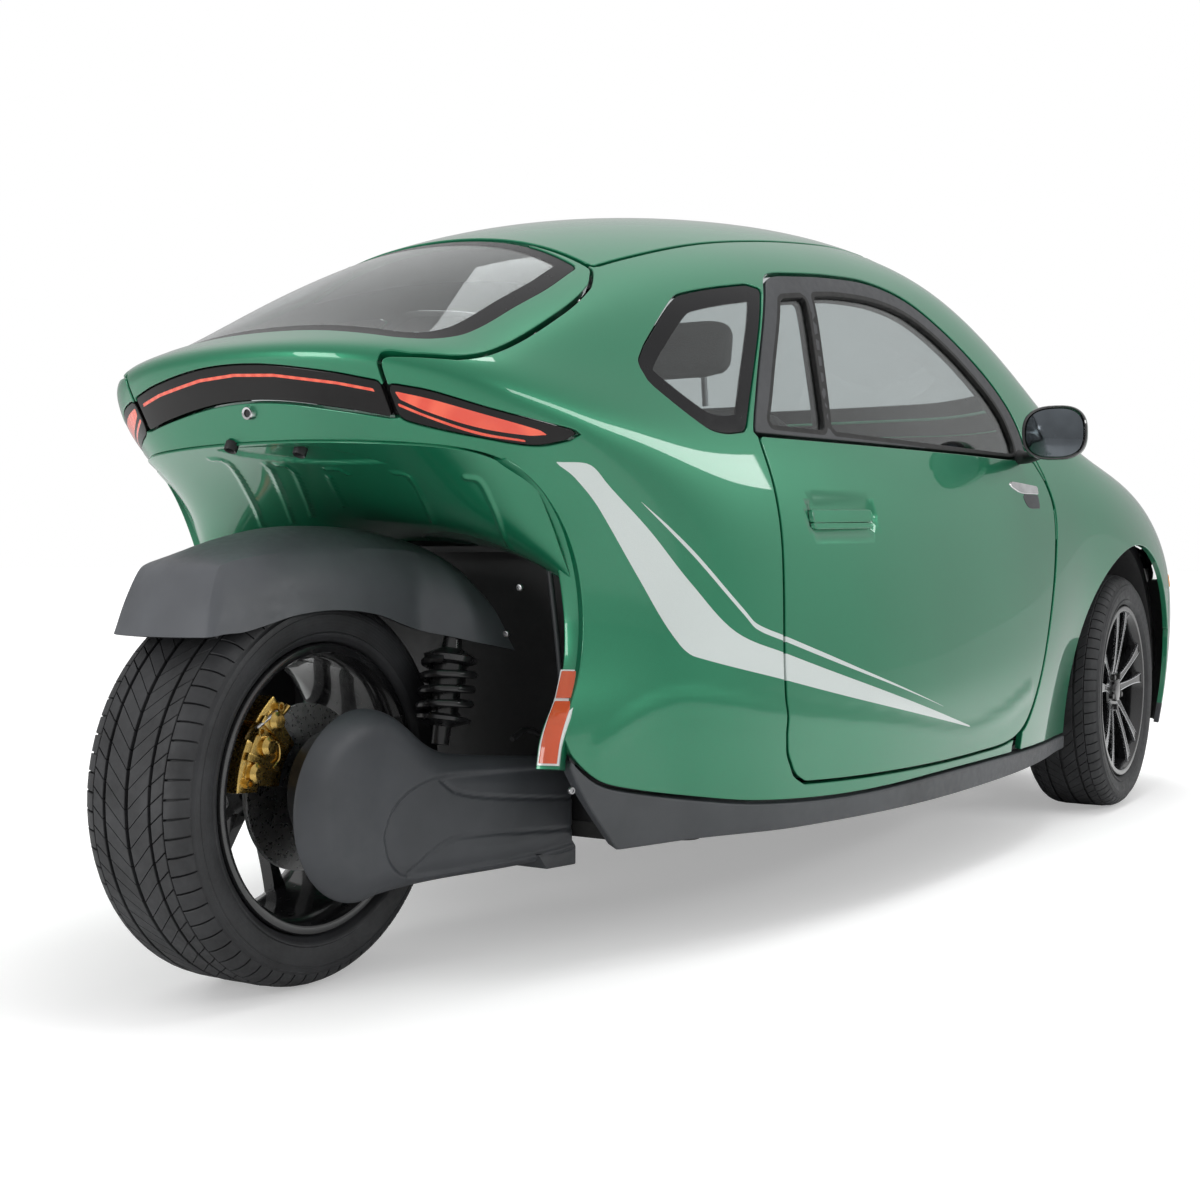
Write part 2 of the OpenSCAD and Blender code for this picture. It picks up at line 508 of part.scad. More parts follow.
// ---- front end ----
module front_liners() {
    color([0.03, 0.03, 0.035]) place() mirrored() {
        difference() {
            translate([front_x, 0, tyre_r]) round_y(arch_r + 8, 336, 596 * ky);
            translate([front_x, 0, tyre_r]) round_y(arch_r - 4, 345, 700);
            box(front_x - 600, front_x + 600, 300, 700, -100, tyre_r + 142);
        }
    }
}
module wishbone(z, inner) {
    hull() {
        translate([front_x, pin_y, z]) cylinder(r = 22, h = 20, center = true, $fn = 64);
        translate([front_x, 390, z]) cylinder(r = 30, h = 20, center = true, $fn = 64);
    }
    box(front_x - 26, front_x + 26, inner, 392, z - 10, z + 10);
}
module front_subframe() {
    color([0.07, 0.07, 0.075]) place() {
        mirrored() {
            wishbone(205, 330 * ky + 1);
            wishbone(445, 285);
            // kingpins reach into the knuckle
            translate([front_x, pin_y, 214]) cylinder(r = 12, h = 40, $fn = 64);
            translate([front_x, pin_y, 396]) cylinder(r = 12, h = 40, $fn = 64);
        }
        box(front_x - 90, front_x + 90, -290, 290, floor_z + floor_t, 300);
        mirrored() box(front_x - 60, front_x + 60, 240, 290, 298, 470);
        mirrored() translate([front_x + 44, 400, 215]) cylinder(r = 34, h = 420, $fn = 64);
        // steering rack
        translate([front_x - 130, 0, 300]) round_y(22, -325, 325);
        box(front_x - 132, front_x - 98, -40, 40, 262, 298);
    }
}
module knuckle_left() {
    color([0.3, 0.3, 0.32]) place() difference() {
        union() {
            translate([front_x, pin_y, 225]) cylinder(r = 26, h = 200, $fn = 64);
            translate([front_x, 0, tyre_r]) round_y(48, pin_y - 20, pin_y + 24);
            translate([front_x, 0, tyre_r]) round_y(20, pin_y, front_y + 62);
            translate([front_x - 115, pin_y - 12, tyre_r + 52]) cube([88, 60, 54]);
        }
        translate([front_x, 0, tyre_r]) round_y(134, front_y - 34, front_y - 12);
        translate([front_x, pin_y, 220]) cylinder(r = 12 + fit, h = 40, $fn = 64);
        translate([front_x, pin_y, 390]) cylinder(r = 12 + fit, h = 40, $fn = 64);
    }
}
module knuckle_right() {
    mirror([0, 1, 0]) knuckle_left();
}
module tyre(w) {
    rotate([90, 0, 0]) rotate_extrude($fn = 144) polygon([
        [rim_r, -w / 2 + 14], [rim_r + 14, -w / 2 + 3], [rim_r + 40, -w / 2], [tyre_r - 24, -w / 2 + 6], [tyre_r - 6, -w / 2 + 24], [tyre_r, -w / 2 + 50],
        [tyre_r, w / 2 - 50], [tyre_r - 6, w / 2 - 24], [tyre_r - 24, w / 2 - 6], [rim_r + 40, w / 2], [rim_r + 14, w / 2 - 3], [rim_r, w / 2 - 14]]);
}
// Barrel, spoke disc and hub; the spokes stand near y = face.
module rim(w, face, hub_in, bore) {
    difference() {
        union() {
            rotate([90, 0, 0]) rotate_extrude($fn = 144) polygon([
                [rim_r, -w / 2 + 16], [rim_r, w / 2 - 16], [rim_r - 10, w / 2 - 8], [rim_r - 18, w / 2 - 12], [rim_r - 26, w / 2 - 40],
                [rim_r - 26, -w / 2 + 40], [rim_r - 18, -w / 2 + 12], [rim_r - 10, -w / 2 + 8]]);
            round_y(62, face - 34, face);
            round_y(40, hub_in, face - 30);
            for (i = [0:4])
                for (k = [-1, 1])
                    rotate([0, i * 72 + k * 11, 0]) translate([0, face - 30, 40]) rotate([0, k * -3, 0]) translate([-9, 0, 0]) cube([18, 24, rim_r - 62]);
        }
        round_y(bore, hub_in - 1, face - 8);
    }
}
module tyre_front_left() {
    color([0.04, 0.04, 0.04]) place() translate([front_x, front_y, tyre_r]) tyre(front_tyre_w);
}
module tyre_front_right() {
    mirror([0, 1, 0]) tyre_front_left();
}
module rim_front_left() {
    color([0.05, 0.05, 0.055]) place() translate([front_x, front_y, tyre_r]) {
        rim(front_tyre_w, front_tyre_w / 2 - 14, -28, 20 + fit);
        difference() {
            round_y(128, -28, -18);
            round_y(39, -29, -17);
        }
    }
}
module rim_front_right() {
    mirror([0, 1, 0]) rim_front_left();
}

// ---- rear end ----
module tyre_rear() {
    color([0.04, 0.04, 0.04]) place() translate([0, 0, tyre_r]) tyre(rear_tyre_w);
}
module rim_rear() {
    color([0.05, 0.05, 0.055]) place() translate([0, 0, tyre_r]) rim(rear_tyre_w, rear_tyre_w / 2 - 14, -56, 24 + fit);
}
module disc_rear() {
    color([0.6, 0.6, 0.6]) place() translate([0, 0, tyre_r]) difference() {
        round_y(rear_disc_r, -66, -56);
        round_y(30, -67, -55);
    }
}
module swingarm() {
    color([0.1, 0.105, 0.11]) place() difference() {
        union() {
            translate([0, 0, tyre_r - 24]) {
                round_y(cover_r - 6, -150, -100);
                translate([0, -150, 0]) rotate([90, 0, 0]) cylinder(r1 = cover_r - 2, r2 = cover_r - 30, h = 46, $fn = 96);
            }
            hull() {
                translate([0, 0, tyre_r - 24]) round_y(arm_h / 2 + 20, -188, -126, 64);
                translate([420 * kx, 0, 254]) round_y(88, -270, -180, 64);
            }
            translate([0, 0, tyre_r]) round_y(24, -110, 60);
        }
        box(-400, 330, -124, 124, 0, 200);
        box(180, 345, -124, 124, 200, 500);
        // stops short of the bulkhead, where the pivot is
        box(468 * kx, 800 * kx, -500, 0, 0, 600);
    }
}
module rear_caliper() {
    color([0.7, 0.5, 0.15]) place() difference() {
        translate([0, 0, tyre_r]) intersection() {
            round_y(rim_r - 40, -99, -30);
            box(-185, -70, -99, -30, -10, 130);
        }
        translate([0, 0, tyre_r]) round_y(rear_disc_r + 7, -72, -49);
        translate([0, 0, tyre_r]) round_y(76, -100, -20);
    }
}
module rear_fender() {
    color([0.13, 0.14, 0.15]) place() difference() {
        translate([0, 128, 0]) rotate([90, 0, 0]) linear_extrude(height = 256) polygon([[-262, 572], [-226, 668], [-190, 692], [-110, 716], [0, 738], [110, 743], [210, 736], [310, 710], [390, 662], [436, 600], [450, 526], [400, 530], [290, 547], [200, 574], [80, 604], [-45, 604], [-190, 574]]);
        translate([0, 120, 0]) rotate([90, 0, 0]) linear_extrude(height = 240) polygon([[-250, 500], [-214, 661], [-184, 681], [-107, 704], [2, 726], [110, 731], [208, 724], [303, 699], [381, 653], [425, 596], [440, 500]]);
    }
}
module rear_shock() {
    color([0.05, 0.05, 0.05]) place() {
        translate([214, -178, 404]) rotate([0, 12, 0]) {
            cylinder(r = 18, h = 190, $fn = 48);
            for (i = [0:5])
                translate([0, 0, 20 + i * 26]) cylinder(r = spring_r, h = 12, $fn = 64);
        }
    }
}

floor_tub();
wheelhouse();
tail_underside();
body_sides();
roof_panel();
windshield();
quarter_glass();
hood();
front_bumper();
front_fenders();
headlamps();
sills();
tailgate();
rear_glass();
tail_lamp_centre();
tail_lamps_side();
reflectors();
door_left();
door_right();
door_frame_left();
door_frame_right();
door_glass_left();
door_glass_right();
mirror_left();
mirror_right();
seats();
dashboard();
steering_wheel();
battery_block();
front_liners();
front_subframe();
knuckle_left();
knuckle_right();
tyre_front_left();
tyre_front_right();
rim_front_left();
rim_front_right();
tyre_rear();
rim_rear();
disc_rear();
swingarm();
rear_caliper();
rear_fender();
rear_shock();
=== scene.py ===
"""Looks of a closed three wheeled coupe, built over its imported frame."""

import copy
import json
import logging
import math
from dataclasses import dataclass, field
from enum import Enum
from typing import Callable, Sequence

import bmesh
import bpy
import numpy as np
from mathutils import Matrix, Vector

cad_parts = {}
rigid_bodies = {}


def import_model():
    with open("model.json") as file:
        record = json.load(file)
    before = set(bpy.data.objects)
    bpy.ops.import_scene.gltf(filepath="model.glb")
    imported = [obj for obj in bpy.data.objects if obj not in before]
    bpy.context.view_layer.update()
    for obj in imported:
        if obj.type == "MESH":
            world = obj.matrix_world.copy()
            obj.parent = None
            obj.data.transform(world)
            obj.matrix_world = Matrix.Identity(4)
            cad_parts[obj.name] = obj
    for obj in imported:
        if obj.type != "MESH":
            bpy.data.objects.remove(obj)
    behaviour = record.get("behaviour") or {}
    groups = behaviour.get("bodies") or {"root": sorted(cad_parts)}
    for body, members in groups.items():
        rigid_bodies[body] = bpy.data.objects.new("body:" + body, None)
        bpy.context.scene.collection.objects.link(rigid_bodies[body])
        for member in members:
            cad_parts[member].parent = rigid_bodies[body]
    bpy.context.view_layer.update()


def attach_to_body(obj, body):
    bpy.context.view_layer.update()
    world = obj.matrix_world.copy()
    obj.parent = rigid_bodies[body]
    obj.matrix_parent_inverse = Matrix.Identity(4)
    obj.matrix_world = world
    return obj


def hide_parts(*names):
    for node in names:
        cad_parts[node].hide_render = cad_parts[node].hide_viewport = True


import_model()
log = logging.getLogger("coupe")

Field = Callable[[np.ndarray], np.ndarray]
Pair = tuple[float, float]
Triple = tuple[float, float, float]

MID_X = 1.475
SHIFT = np.array([-MID_X, 0.0, 0.0])
GAP = 0.003
ROLL = 0.0022


class Plane(Enum):
    """Direction in which an outline is looked at."""

    SIDE = (0, 2)
    PLAN = (0, 1)
    END = (1, 2)


class Side(Enum):
    """Side of the car, as the sign of its y."""

    LEFT = 1
    RIGHT = -1

    @property
    def word(self) -> str:
        """Name used in node and body names."""
        return self.name.lower()


# ---- outlines and fields -------------------------------------------------
def rounded_loop(points: Sequence[Pair], corner: float = 0.014, sharp: float = 36.0,
                 steps: int = 7) -> np.ndarray:
    """Runs a smooth closed line through points and rounds its sharp corners.

    Args:
        points: Corner points of the loop.
        corner: Length cut off each side of a sharp corner.
        sharp: Turn in degrees above which a point is a corner.
        steps: Points made between two given ones.

    Returns:
        Points of the smooth loop.
    """
    p = np.array(points, float)
    n = len(p)
    before, after = p - np.roll(p, 1, 0), np.roll(p, -1, 0) - p
    turn = np.degrees(np.abs(np.arctan2(before[:, 0] * after[:, 1] - before[:, 1] * after[:, 0],
                                        (before * after).sum(1))))
    runs: list[list[np.ndarray]] = [[]]
    bends: list[np.ndarray] = []
    for i in range(n):
        if turn[i] < sharp:
            runs[-1].append(p[i])
            continue
        lb, la = np.linalg.norm(before[i]), np.linalg.norm(after[i])
        a = p[i] - before[i] / lb * min(corner, 0.45 * lb)
        b = p[i] + after[i] / la * min(corner, 0.45 * la)
        t = np.linspace(0, 1, 7)[:, None]
        runs[-1].append(a)
        bends.append((1 - t) ** 2 * a + 2 * t * (1 - t) * p[i] + t * t * b)
        runs.append([b])
    if not bends:
        return through(np.array(runs[0]), steps, closed=True)
    runs[0] = runs.pop() + runs[0]
    out = []
    for k, bend in enumerate(bends):
        out += [through(np.array(runs[k]), steps), bend[1:-1]]
    return np.concatenate(out)


def through(p: np.ndarray, steps: int, closed: bool = False) -> np.ndarray:
    """Smooth line through points.

    Args:
        p: Points, one a row.
        steps: Points made between two given ones.
        closed: Whether the line comes back to its start.

    Returns:
        Points of the line, without a repeated last one if closed.
    """
    if closed:
        q = np.concatenate([p[-1:], p, p[:2]])
    else:
        if len(p) < 3:
            return p
        q = np.concatenate([2 * p[:1] - p[1:2], p, 2 * p[-1:] - p[-2:-1]])
    out = []
    for i in range(1, len(q) - 2):
        a, b, c, d = q[i - 1], q[i], q[i + 1], q[i + 2]
        length = max(np.linalg.norm(c - b), 1e-9)
        m0 = (c - a) / max(np.linalg.norm(c - b) + np.linalg.norm(b - a), 1e-9) * length
        m1 = (d - b) / max(np.linalg.norm(d - c) + np.linalg.norm(c - b), 1e-9) * length
        t = (np.arange(steps) / steps)[:, None]
        out.append((2 * t**3 - 3 * t**2 + 1) * b + (t**3 - 2 * t**2 + t) * m0 + (3 * t**2 - 2 * t**3) * c
                   + (t**3 - t**2) * m1)
    if not closed:
        out.append(q[-2:-1])
    return np.concatenate(out)


class Outline:
    """Closed line seen from one direction, as a signed distance field."""

    def __init__(self, points: Sequence[Pair], plane: Plane, corner: float = 0.014,
                 smooth: bool = True) -> None:
        """Keeps the loop.

        Args:
            points: Corner points in millimetres.
            plane: Direction it is looked at from.
            corner: Rounding of its sharp corners, in metres.
            smooth: Whether the loop runs smoothly through its points.
        """
        p = np.array(points, float) / 1000
        self.loop = rounded_loop(p, corner) if smooth else p
        self.axes = list(plane.value)
        self.low, self.high = self.loop.min(0), self.loop.max(0)

    def __call__(self, p: np.ndarray) -> np.ndarray:
        """Signed distance of points, below zero inside."""
        q = p[:, self.axes]
        away = np.maximum(np.maximum(self.low - q, q - self.high), 0)
        out = np.linalg.norm(away, axis=1) + 0.03
        close = np.flatnonzero(out < 0.06)
        a, b = self.loop, np.roll(self.loop, -1, 0)
        d = b - a
        dd = np.maximum((d * d).sum(1), 1e-12)
        for part in np.array_split(close, max(1, len(close) // 20000)):
            if not len(part):
                continue
            s = q[part][:, None, :]
            t = np.clip(((s - a) * d).sum(2) / dd, 0, 1)
            gap = s - a - t[..., None] * d
            near = np.sqrt((gap * gap).sum(2).min(1))
            up = (a[:, 1] > s[..., 1]) != (b[:, 1] > s[..., 1])
            with np.errstate(divide="ignore", invalid="ignore"):
                at = a[:, 0] + (s[..., 1] - a[:, 1]) * d[:, 0] / d[:, 1]
            odd = (up & (s[..., 0] < at)).sum(1) % 2 == 1
            out[part] = np.where(odd, -near, near)
        return out


def grown(shape: Field, r: float) -> Field:
    """Field whose inside reaches r further out."""
    return lambda p: shape(p) - r


def outside(shape: Field) -> Field:
    """Field with inside and outside swapped."""
    return lambda p: -shape(p)


def common(*shapes: Field) -> Field:
    """Field whose inside is in all the shapes."""
    return lambda p: np.max([s(p) for s in shapes], axis=0)


def joined(*shapes: Field) -> Field:
    """Field whose inside is in any of the shapes."""
    return lambda p: np.min([s(p) for s in shapes], axis=0)


def beyond(axis: int, value: float) -> Field:
    """Half space where a coordinate is above value."""
    return lambda p: value - p[:, axis]


def below(axis: int, value: float) -> Field:
    """Half space where a coordinate is below value."""
    return lambda p: p[:, axis] - value


def wide(shape: Field) -> Field:
    """Field mirrored about the centre plane."""
    return lambda p: shape(np.column_stack([p[:, 0], np.abs(p[:, 1]), p[:, 2]]))


def one_side(side: Side, from_y: float = 0.0) -> Field:
    """Half space on one side of the car."""
    return lambda p: from_y - side.value * p[:, 1]


def disc(centre: Triple, r: float) -> Field:
    """Round field around an axis along y."""
    return lambda p: np.hypot(p[:, 0] - centre[0], p[:, 2] - centre[2]) - r


# ---- surfaces --------------------------------------------------------------
class Surface:
    """Surface over two parameters; subclasses give its bare points."""

    step = 0.02
    relief: Callable[[np.ndarray], np.ndarray] | None = None

    def bare(self, uv: np.ndarray) -> np.ndarray:
        """Points before any relief, one a row."""
        raise NotImplementedError

    def bare_normals(self, uv: np.ndarray, h: float = 0.01) -> np.ndarray:
        """Unit normals before any relief, one a row."""
        du = self.bare(uv + [h, 0]) - self.bare(uv - [h, 0])
        dv = self.bare(uv + [0, h]) - self.bare(uv - [0, h])
        n = np.cross(du, dv)
        return n / np.maximum(np.linalg.norm(n, axis=1, keepdims=True), 1e-12)

    def points(self, uv: np.ndarray) -> np.ndarray:
        """Points with the relief raised on them."""
        p = self.bare(uv)
        if self.relief is None:
            return p
        return p + self.bare_normals(uv) * self.relief(p)[:, None]

    def normals(self, uv: np.ndarray) -> np.ndarray:
        """Unit normals of the finished surface."""
        if self.relief is None:
            return self.bare_normals(uv)
        h = self.step
        du = self.points(uv + [h, 0]) - self.points(uv - [h, 0])
        dv = self.points(uv + [0, h]) - self.points(uv - [0, h])
        n = np.cross(du, dv)
        return n / np.maximum(np.linalg.norm(n, axis=1, keepdims=True), 1e-12)


class NetSurface(Surface):
    """Smooth surface through a net of control points, mirrored about y = 0."""

    def __init__(self, net: Sequence[Sequence[Triple]]) -> None:
        """Keeps the net.

        Args:
            net: Stations from tail to nose, each from the centre outwards, in millimetres.
        """
        left = np.array(net, float) / 1000
        right = left[:, 1:][:, ::-1] * [1, -1, 1]
        self.net = np.concatenate([right, left], axis=1)
        self.half = left.shape[1] - 1

    @staticmethod
    def _weights(t: np.ndarray, n: int) -> np.ndarray:
        """Share of each of n controls at each place t."""
        t = np.clip(t, -0.02, n - 1 + 0.02)
        k = np.clip(np.floor(t).astype(int), 0, n - 2)
        f = t - k
        w = np.stack([(1 - f) ** 3, 3 * f**3 - 6 * f * f + 4, -3 * f**3 + 3 * f * f + 3 * f + 1, f**3],
                     1) / 6
        m = np.zeros((len(t), n + 2))
        rows = np.arange(len(t))
        for q in range(4):
            m[rows, k + q] += w[:, q]
        out = m[:, 1:-1].copy()
        out[:, 0] += 2 * m[:, 0]
        out[:, 1] -= m[:, 0]
        out[:, -1] += 2 * m[:, -1]
        out[:, -2] -= m[:, -1]
        return out

    def bare(self, uv: np.ndarray) -> np.ndarray:
        """Points on the net's surface."""
        a = self._weights(uv[:, 0], self.net.shape[0])
        b = self._weights(uv[:, 1] + self.half, self.net.shape[1])
        mid = (a @ self.net.reshape(a.shape[1], -1)).reshape(len(uv), -1, 3)
        return np.einsum("nj,njk->nk", b, mid)


class HeightSurface(Surface):
    """Surface seen from one side: y is given over x and z."""

    step = 0.001

    def __init__(self, depth: Callable[[np.ndarray, np.ndarray], np.ndarray], facing: int) -> None:
        """Keeps the height function.

        Args:
            depth: Gives y for arrays of x and z.
            facing: Sign of y that the surface looks to.
        """
        self.depth, self.facing = depth, facing

    def bare(self, uv: np.ndarray) -> np.ndarray:
        """Points over x and z."""
        x, z = uv[:, 0], uv[:, 1] * -self.facing
        return np.column_stack([x, self.depth(x, z), z])

    def bare_normals(self, uv: np.ndarray, h: float = 0.0015) -> np.ndarray:
        """Unit normals, from a small step."""
        return super().bare_normals(uv, h)


class Patch:
    """Piece of a surface as triangles over its parameters."""

    def __init__(self, surface: Surface, span: tuple[float, float, float, float], du: float,
                 dv: float) -> None:
        """Makes an even grid.

        Args:
            surface: Surface that it lies on.
            span: Lowest and highest u, then v.
            du: Size of a cell along u.
            dv: Size of a cell along v.
        """
        u0, u1, v0, v1 = span
        nu, nv = max(2, round((u1 - u0) / du)), max(2, round((v1 - v0) / dv))
        u, v = np.meshgrid(np.linspace(u0, u1, nu + 1), np.linspace(v0, v1, nv + 1), indexing="ij")
        self.surface = surface
        self.uv = np.column_stack([u.ravel(), v.ravel()])
        i, j = np.meshgrid(np.arange(nu), np.arange(nv), indexing="ij")
        a = (i * (nv + 1) + j).ravel()
        b, c, d = a + nv + 1, a + nv + 2, a + 1
        flip = ((i + j) % 2 == 0).ravel()
        one = np.where(flip[:, None], np.column_stack([a, b, c]), np.column_stack([a, b, d]))
        two = np.where(flip[:, None], np.column_stack([a, c, d]), np.column_stack([b, c, d]))
        self.tri = np.concatenate([one, two])
        self.tag = np.zeros(len(self.tri), int)

    def _divide(self, shape: Field) -> np.ndarray:
        """Splits the triangles on the shape's edge; returns which of them are inside."""
        val = shape(self.surface.points(self.uv))
        val = np.where(np.abs(val) < 1e-7, 1e-7, val)
        inside = val < 0
        count = inside[self.tri].sum(1)
        whole = (count == 0) | (count == 3)
        t, tag = self.tri[~whole], self.tag[~whole]
        if not len(t):
            return inside[self.tri[:, 0]]
        s = inside[t]
        lone = s.sum(1) == 1
        odd = np.where(lone, s.argmax(1), (~s).argmax(1))
        t = t[np.arange(len(t))[:, None], (odd[:, None] + np.arange(3)) % 3]
        a, b, c = t.T
        ends = np.sort(np.concatenate([np.column_stack([a, b]), np.column_stack([a, c])]), axis=1)
        pairs, where = np.unique(ends, axis=0, return_inverse=True)
        where = where.ravel()
        lo, hi = self.uv[pairs[:, 0]], self.uv[pairs[:, 1]]
        fl, fh = val[pairs[:, 0]].copy(), val[pairs[:, 1]].copy()
        tl, th = np.zeros(len(fl)), np.ones(len(fl))
        for _ in range(4):
            at = tl + (th - tl) * fl / (fl - fh)
            mid = shape(self.surface.points(lo + (hi - lo) * at[:, None]))
            same = (mid < 0) == (fl < 0)
            tl, fl = np.where(same, at, tl), np.where(same, mid, fl * 0.5)
            th, fh = np.where(same, th, at), np.where(same, fh * 0.5, mid)
            tiny = np.abs(fl - fh) < 1e-12
            fh = np.where(tiny, fh + 1e-9, fh)
        n = len(self.uv)
        self.uv = np.concatenate([self.uv, lo + (hi - lo) * at[:, None]])
        ab, ac = n + where[: len(a)], n + where[len(a):]
        keep = self.tri[whole]
        self.tri = np.concatenate(
            [keep, np.column_stack([a, ab, ac]), np.column_stack([ab, b, c]), np.column_stack([ab, c, ac])])
        self.tag = np.concatenate([self.tag[whole], tag, tag, tag])
        return np.concatenate([inside[keep[:, 0]], lone, ~lone, ~lone])

    def _take(self, mask: np.ndarray) -> None:
        """Keeps the masked triangles and the points that they use."""
        self.tri, self.tag = self.tri[mask], self.tag[mask]
        used, back = np.unique(self.tri, return_inverse=True)
        self.uv, self.tri = self.uv[used], back.reshape(-1, 3)

    def keep(self, shape: Field) -> "Patch":
        """Keeps what is inside the shape."""
        self._take(self._divide(shape))
        return self

    def cut(self, shape: Field) -> "Patch":
        """Takes away what is inside the shape."""
        self._take(~self._divide(shape))
        return self

    def score(self, line: Field) -> "Patch":
        """Splits the triangles along a line and changes nothing else."""
        self._divide(line)
        return self

    def tagged(self, tag: int) -> "Patch":
        """New patch of the triangles with one material number."""
        part = copy.copy(self)
        part._take(self.tag == tag)
        part.tag = np.zeros(len(part.tri), int)
        return part

    def mark(self, shape: Field, tag: int, over: int | None = None) -> "Patch":
        """Gives what is inside the shape another material number."""
        side = self._divide(shape)
        if over is not None:
            side &= self.tag == over
        self.tag[side] = tag
        return self

    def shell(self, name: str, mats: Sequence[bpy.types.Material], thick: float, lift: float = 0.0,
              roll: float = ROLL, inner: int = -1) -> bpy.types.Object:
        """Gives the patch thickness and rolled edges and makes it an object.

        Args:
            name: Name of the piece.
            mats: Materials by number.
            thick: Thickness of the wall.
            lift: How far the outer face lies under the surface.
            roll: Radius of the edge.
            inner: Material number of the inner face; -1 is the last.

        Returns:
            The new object.
        """
        n = self.surface.normals(self.uv)
        base = self.surface.points(self.uv) - n * lift
        k = len(base)
        edge = np.concatenate([self.tri[:, [0, 1]], self.tri[:, [1, 2]], self.tri[:, [2, 0]]])
        owner = np.tile(self.tag, 3)
        key, back = edge[:, 0] * k + edge[:, 1], edge[:, 1] * k + edge[:, 0]
        rim = ~np.isin(key, back)
        edge, owner = edge[rim], owner[rim]
        a, b = edge.T
        out = np.cross(base[b] - base[a], n[a] + n[b])
        lateral = np.zeros_like(base)
        np.add.at(lateral, a, out)
        np.add.at(lateral, b, out)
        ring_of = np.full(k, -1)
        verts = np.unique(edge)
        ring_of[verts] = np.arange(len(verts))
        lat = lateral[verts]
        lat /= np.maximum(np.linalg.norm(lat, axis=1, keepdims=True), 1e-12)
        nb, pb = n[verts], base[verts]
        rings, ring_n = [pb], [nb]
        for angle in (35, 65, 90) if roll > 0 else (90,):
            s, c = math.sin(math.radians(angle)), math.cos(math.radians(angle))
            rings.append(pb + lat * roll * s - nb * roll * (1 - c))
            ring_n.append(nb * c + lat * s)
        rings.append(pb + lat * roll - nb * thick)
        ring_n.append(lat)
        points = np.concatenate([base, *rings[1:], base - n * thick])
        m = len(verts)
        ra, rb = ring_of[a], ring_of[b]
        tris, nors, tags = [self.tri], [n[self.tri]], [self.tag]

        def place(level: int, idx: np.ndarray, orig: np.ndarray) -> np.ndarray:
            """Point numbers on a ring of the rolled edge."""
            return orig if level == 0 else k + (level - 1) * m + idx

        for level in range(len(rings) - 1):
            ia, ib = place(level, ra, a), place(level, rb, b)
            ja, jb = place(level + 1, ra, a), place(level + 1, rb, b)
            na, nb2 = ring_n[level][ra], ring_n[level][rb]
            ma, mb = ring_n[level + 1][ra], ring_n[level + 1][rb]
            tris += [np.column_stack([ib, ia, ja]), np.column_stack([ib, ja, jb])]
            nors += [np.stack([nb2, na, ma], 1), np.stack([nb2, ma, mb], 1)]
            tags += [owner, owner]
        last = len(rings) - 1
        start = k + last * m
        ia, ib = place(last, ra, a), place(last, rb, b)
        dark = inner % len(mats)
        tris += [np.column_stack([ib, ia, start + a]), np.column_stack([ib, start + a, start + b])]
        nors += [np.stack([-n[b], -n[a], -n[a]], 1), np.stack([-n[b], -n[a], -n[b]], 1)]
        tags += [np.full(len(a), dark)] * 2
        back_tri = self.tri[:, ::-1] + start
        tris.append(back_tri)
        nors.append(-n[self.tri[:, ::-1]])
        tags.append(np.full(len(self.tri), dark))
        return solid(name, points, np.concatenate(tris), mats, np.concatenate(tags), np.concatenate(nors))


def solid(name: str, points: np.ndarray, faces: Sequence, mats: Sequence[bpy.types.Material],
          tags: Sequence[int] | None = None, normals: np.ndarray | None = None,
          smooth: bool = True) -> bpy.types.Object:
    """Makes a mesh object from points given from the rear axle.

    Args:
        name: Name of the piece.
        points: Its points.
        faces: Point numbers of its faces.
        mats: Its materials.
        tags: Material number of each face.
        normals: Normal at each corner of each face.
        smooth: Whether it is shaded smoothly.

    Returns:
        The new object.
    """
    mesh = bpy.data.meshes.new(name)
    mesh.from_pydata((np.asarray(points, float) + SHIFT).tolist(), [], [list(map(int, f)) for f in faces])
    for m in mats:
        mesh.materials.append(m)
    if tags is not None:
        mesh.polygons.foreach_set("material_index", np.asarray(tags, np.int32))
    mesh.polygons.foreach_set("use_smooth", np.full(len(mesh.polygons), smooth))
    if normals is not None:
        mesh.normals_split_custom_set(np.asarray(normals, float).reshape(-1, 3).tolist())
    mesh.update()
    obj = bpy.data.objects.new(name, mesh)
    bpy.context.scene.collection.objects.link(obj)
    return obj


def tidy(obj: bpy.types.Object, merge: float = 1e-5, sharp: float = 40.0) -> bpy.types.Object:
    """Merges doubles, turns the faces outwards and marks sharp edges."""
    bm = bmesh.new()
    bm.from_mesh(obj.data)
    bmesh.ops.remove_doubles(bm, verts=bm.verts, dist=merge)
    bmesh.ops.recalc_face_normals(bm, faces=bm.faces)
    for e in bm.edges:
        e.smooth = len(e.link_faces) == 2 and e.calc_face_angle(0.0) < math.radians(sharp)
    for f in bm.faces:
        f.smooth = True
    bm.to_mesh(obj.data)
    bm.free()
    return obj


